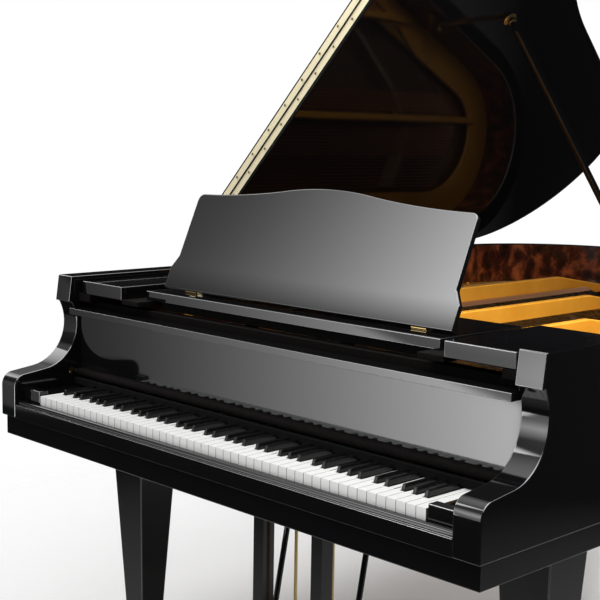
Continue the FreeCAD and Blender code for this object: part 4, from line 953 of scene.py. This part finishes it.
PANEL_AZIMUTH = math.radians(40.0)
PANEL_AWAY = 2.0
PANEL_AIM = Vector((0.0, -0.9, 0.0))
PANEL_ENDS = (-1.5, 0.95)
PANEL_FEET = (0.46, 0.07)
PANEL_TOP = 3.1
PANEL_DIM = 0.2
PANEL_BRIGHT = 2.15
PANEL_START = 1.2
PANEL_POWER = 2.33
PANEL_FILL = 0.2
PANEL_HAZE = ((0.0, 0.12), (0.18, 0.2), (0.34, 0.5), (0.60, 0.06))
PANEL_BANDS = ((0.4, (1.18, 1.145), (1.97, 1.93), 0.8), (-0.5, (1.5, 1.7), (1.6, 1.4), 2.4))


def mirrored_only(tree, plain, mirrored):
    """One level for polished surfaces' rays and a plain one for all others, with what tells the rays."""
    rays = add(tree, "ShaderNodeLightPath").outputs
    shiny = figure(tree, "MAXIMUM", rays["Is Glossy Ray"], rays["Is Transmission Ray"])
    choice = add(tree, "ShaderNodeMix", {"Factor": shiny, "A": plain, "B": mirrored}, data_type="FLOAT")
    return choice.outputs["Result"], rays


def panel_glow(across, middle):
    """The panel's light: it rises towards one end, is hazy by height, and has slanted bands."""
    finish = bpy.data.materials.new("panel_light")
    finish.use_nodes = True
    tree = finish.node_tree
    tree.nodes.clear()
    coordinates = add(tree, "ShaderNodeTexCoord").outputs["Object"]
    along = add(tree, "ShaderNodeVectorMath", {0: coordinates, 1: across}, operation="DOT_PRODUCT")
    start = figure(tree, "ADD", along.outputs["Value"], PANEL_START - middle.dot(across))
    level = figure(tree, "MULTIPLY_ADD", figure(tree, "POWER", start, PANEL_POWER), PANEL_BRIGHT, PANEL_DIM)
    height = add(tree, "ShaderNodeSeparateXYZ", {"Vector": coordinates}).outputs["Z"]
    share = add(tree, "ShaderNodeMapRange", {"Value": height, "From Max": PANEL_TOP}).outputs["Result"]
    total = colour_ramp(tree, share, *((place, [value] * 3) for place, value in PANEL_HAZE))
    for slant, edges, ends, strength in PANEL_BANDS:
        slanted = figure(tree, "MULTIPLY_ADD", start, slant, height)
        band = add(tree, "ShaderNodeMapRange", {"Value": slanted, "From Min": edges[0], "From Max": edges[1]})
        end = add(tree, "ShaderNodeMapRange", {"Value": start, "From Min": ends[0], "From Max": ends[1],
                                               "To Max": strength})
        total = figure(tree, "MULTIPLY_ADD", band.outputs["Result"], end.outputs["Result"], total)
    lit, rays = mirrored_only(tree, PANEL_FILL, figure(tree, "MULTIPLY", level, total))
    glow = add(tree, "ShaderNodeEmission", {"Strength": lit})
    add(tree, "ShaderNodeOutputMaterial", {"Surface": glow.outputs["Emission"]})
    return finish


def light_panel():
    """A standing soft panel ahead and to the left of the keyboard, brighter towards its right end."""
    away = Vector((-math.sin(PANEL_AZIMUTH), -math.cos(PANEL_AZIMUTH), 0.0))
    across = Vector((math.cos(PANEL_AZIMUTH), -math.sin(PANEL_AZIMUTH), 0.0))
    middle = PANEL_AIM + away * PANEL_AWAY
    feet = list(zip(PANEL_ENDS, PANEL_FEET))
    heads = [(end, PANEL_TOP) for end in reversed(PANEL_ENDS)]
    corners = [middle + across * end + Vector((0.0, 0.0, height)) for end, height in feet + heads]
    mesh = bpy.data.meshes.new("light_panel")
    mesh.from_pydata(corners, [], [(0, 1, 2, 3)])
    panel = new_piece("light_panel", mesh, panel_glow(across, middle))
    panel.visible_camera = False
    panel.visible_shadow = False


light_panel()
CEILING_FROM = 0.6
CEILING_FULL = 0.95
SURROUND_LOW = 0.01
SURROUND_HIGH = 3.0
SURROUND_FILL = 0.78
SIDE_GLOW = (("X", -0.68, -0.80, 0.0, 1.0), ("Z", 0.20, 0.35, 0.0, 1.0), ("Y", 0.30, -0.40, 0.4, 7.0))


def surround():
    """White to the camera and an even fill on matt things; in polished ones a dark room with a pale ceiling
    and left side."""
    world = bpy.data.worlds.new("surround")
    bpy.context.scene.world = world
    world.use_nodes = True
    tree = world.node_tree
    direction = add(tree, "ShaderNodeTexCoord").outputs["Generated"]
    parts = add(tree, "ShaderNodeSeparateXYZ", {"Vector": direction}).outputs
    ceiling = add(tree, "ShaderNodeMapRange", {"Value": parts["Z"], "From Min": CEILING_FROM,
                                               "From Max": CEILING_FULL, "To Min": SURROUND_LOW,
                                               "To Max": SURROUND_HIGH})
    glow = 1.0
    for side, far, near, low, high in SIDE_GLOW:
        edge = add(tree, "ShaderNodeMapRange", {"Value": parts[side], "From Min": far, "From Max": near,
                                                "To Min": low, "To Max": high})
        glow = figure(tree, "MULTIPLY", edge.outputs["Result"], glow)
    lit, rays = mirrored_only(tree, SURROUND_FILL, figure(tree, "ADD", ceiling.outputs["Result"], glow))
    seen = add(tree, "ShaderNodeMix", {"Factor": rays["Is Camera Ray"], "A": lit, "B": 1.0},
               data_type="FLOAT")
    feed(tree, tree.nodes["Background"], {"Color": (1.0, 1.0, 1.0, 1.0), "Strength": seen.outputs["Result"]})


surround()
OPEN_SPREAD = 180.0
OVER_PLACE = (-1.2, -1.9, 4.2)
OVER_AIM = (-0.1, -0.4, 0.8)
OVER_WIDTH = 2.6
OVER_POWER = 92.0
INSIDE_PLACE = (1.3, -0.8, 2.7)
INSIDE_AIM = (0.45, -0.2, 0.9)
INSIDE_WIDTH = 0.8
INSIDE_POWER = 7.5
INSIDE_SPREAD = 46.0


def soft_lamp(name, place, aim, width, power, spread=OPEN_SPREAD):
    """A round soft lamp that shines on a point, unseen by the camera and in polished surfaces."""
    lamp = bpy.data.lights.new(name, "AREA")
    lamp.spread = math.radians(spread)
    lamp.shape = "DISK"
    lamp.size = width
    lamp.energy = power
    holder = bpy.data.objects.new(name, lamp)
    holder.location = place
    holder.rotation_euler = (Vector(aim) - Vector(place)).to_track_quat("-Z", "Y").to_euler()
    holder.visible_camera = False
    holder.visible_glossy = False
    bpy.context.scene.collection.objects.link(holder)


soft_lamp("over_lamp", OVER_PLACE, OVER_AIM, OVER_WIDTH, OVER_POWER)
soft_lamp("inside_lamp", INSIDE_PLACE, INSIDE_AIM, INSIDE_WIDTH, INSIDE_POWER, INSIDE_SPREAD)

# Camera
# The camera stands at the front right, above the keys and looking slightly down. Its place and lens were
# fitted to the keyboard, the arms, the desk and the lid.
CAMERA_PLACE = Vector((1.986389, -2.706199, 1.360923))
CAMERA_AZIMUTH = math.radians(45.765)
CAMERA_FALL = math.radians(7.418)
CAMERA_ROLL = math.radians(1.001)
SENSOR_WIDTH = 36.0
FOCAL_SHARE = 1248.512 / 600.0
level = Vector((math.cos(CAMERA_AZIMUTH), math.sin(CAMERA_AZIMUTH), 0.0))
onward = Vector((-level.y, level.x, 0.0))
ahead = onward * math.cos(CAMERA_FALL) - Vector((0.0, 0.0, math.sin(CAMERA_FALL)))
above = level.cross(ahead)
right = level * math.cos(CAMERA_ROLL) + above * math.sin(CAMERA_ROLL)
top = above * math.cos(CAMERA_ROLL) - level * math.sin(CAMERA_ROLL)
lens = bpy.data.cameras.new("camera")
lens.sensor_width = SENSOR_WIDTH
lens.lens = SENSOR_WIDTH * FOCAL_SHARE
camera = bpy.data.objects.new("camera", lens)
camera.matrix_world = Matrix.Translation(CAMERA_PLACE) @ Matrix((right, top, -ahead)).transposed().to_4x4()
bpy.context.scene.collection.objects.link(camera)
bpy.context.scene.camera = camera
bpy.context.scene.view_settings.view_transform = "Standard"
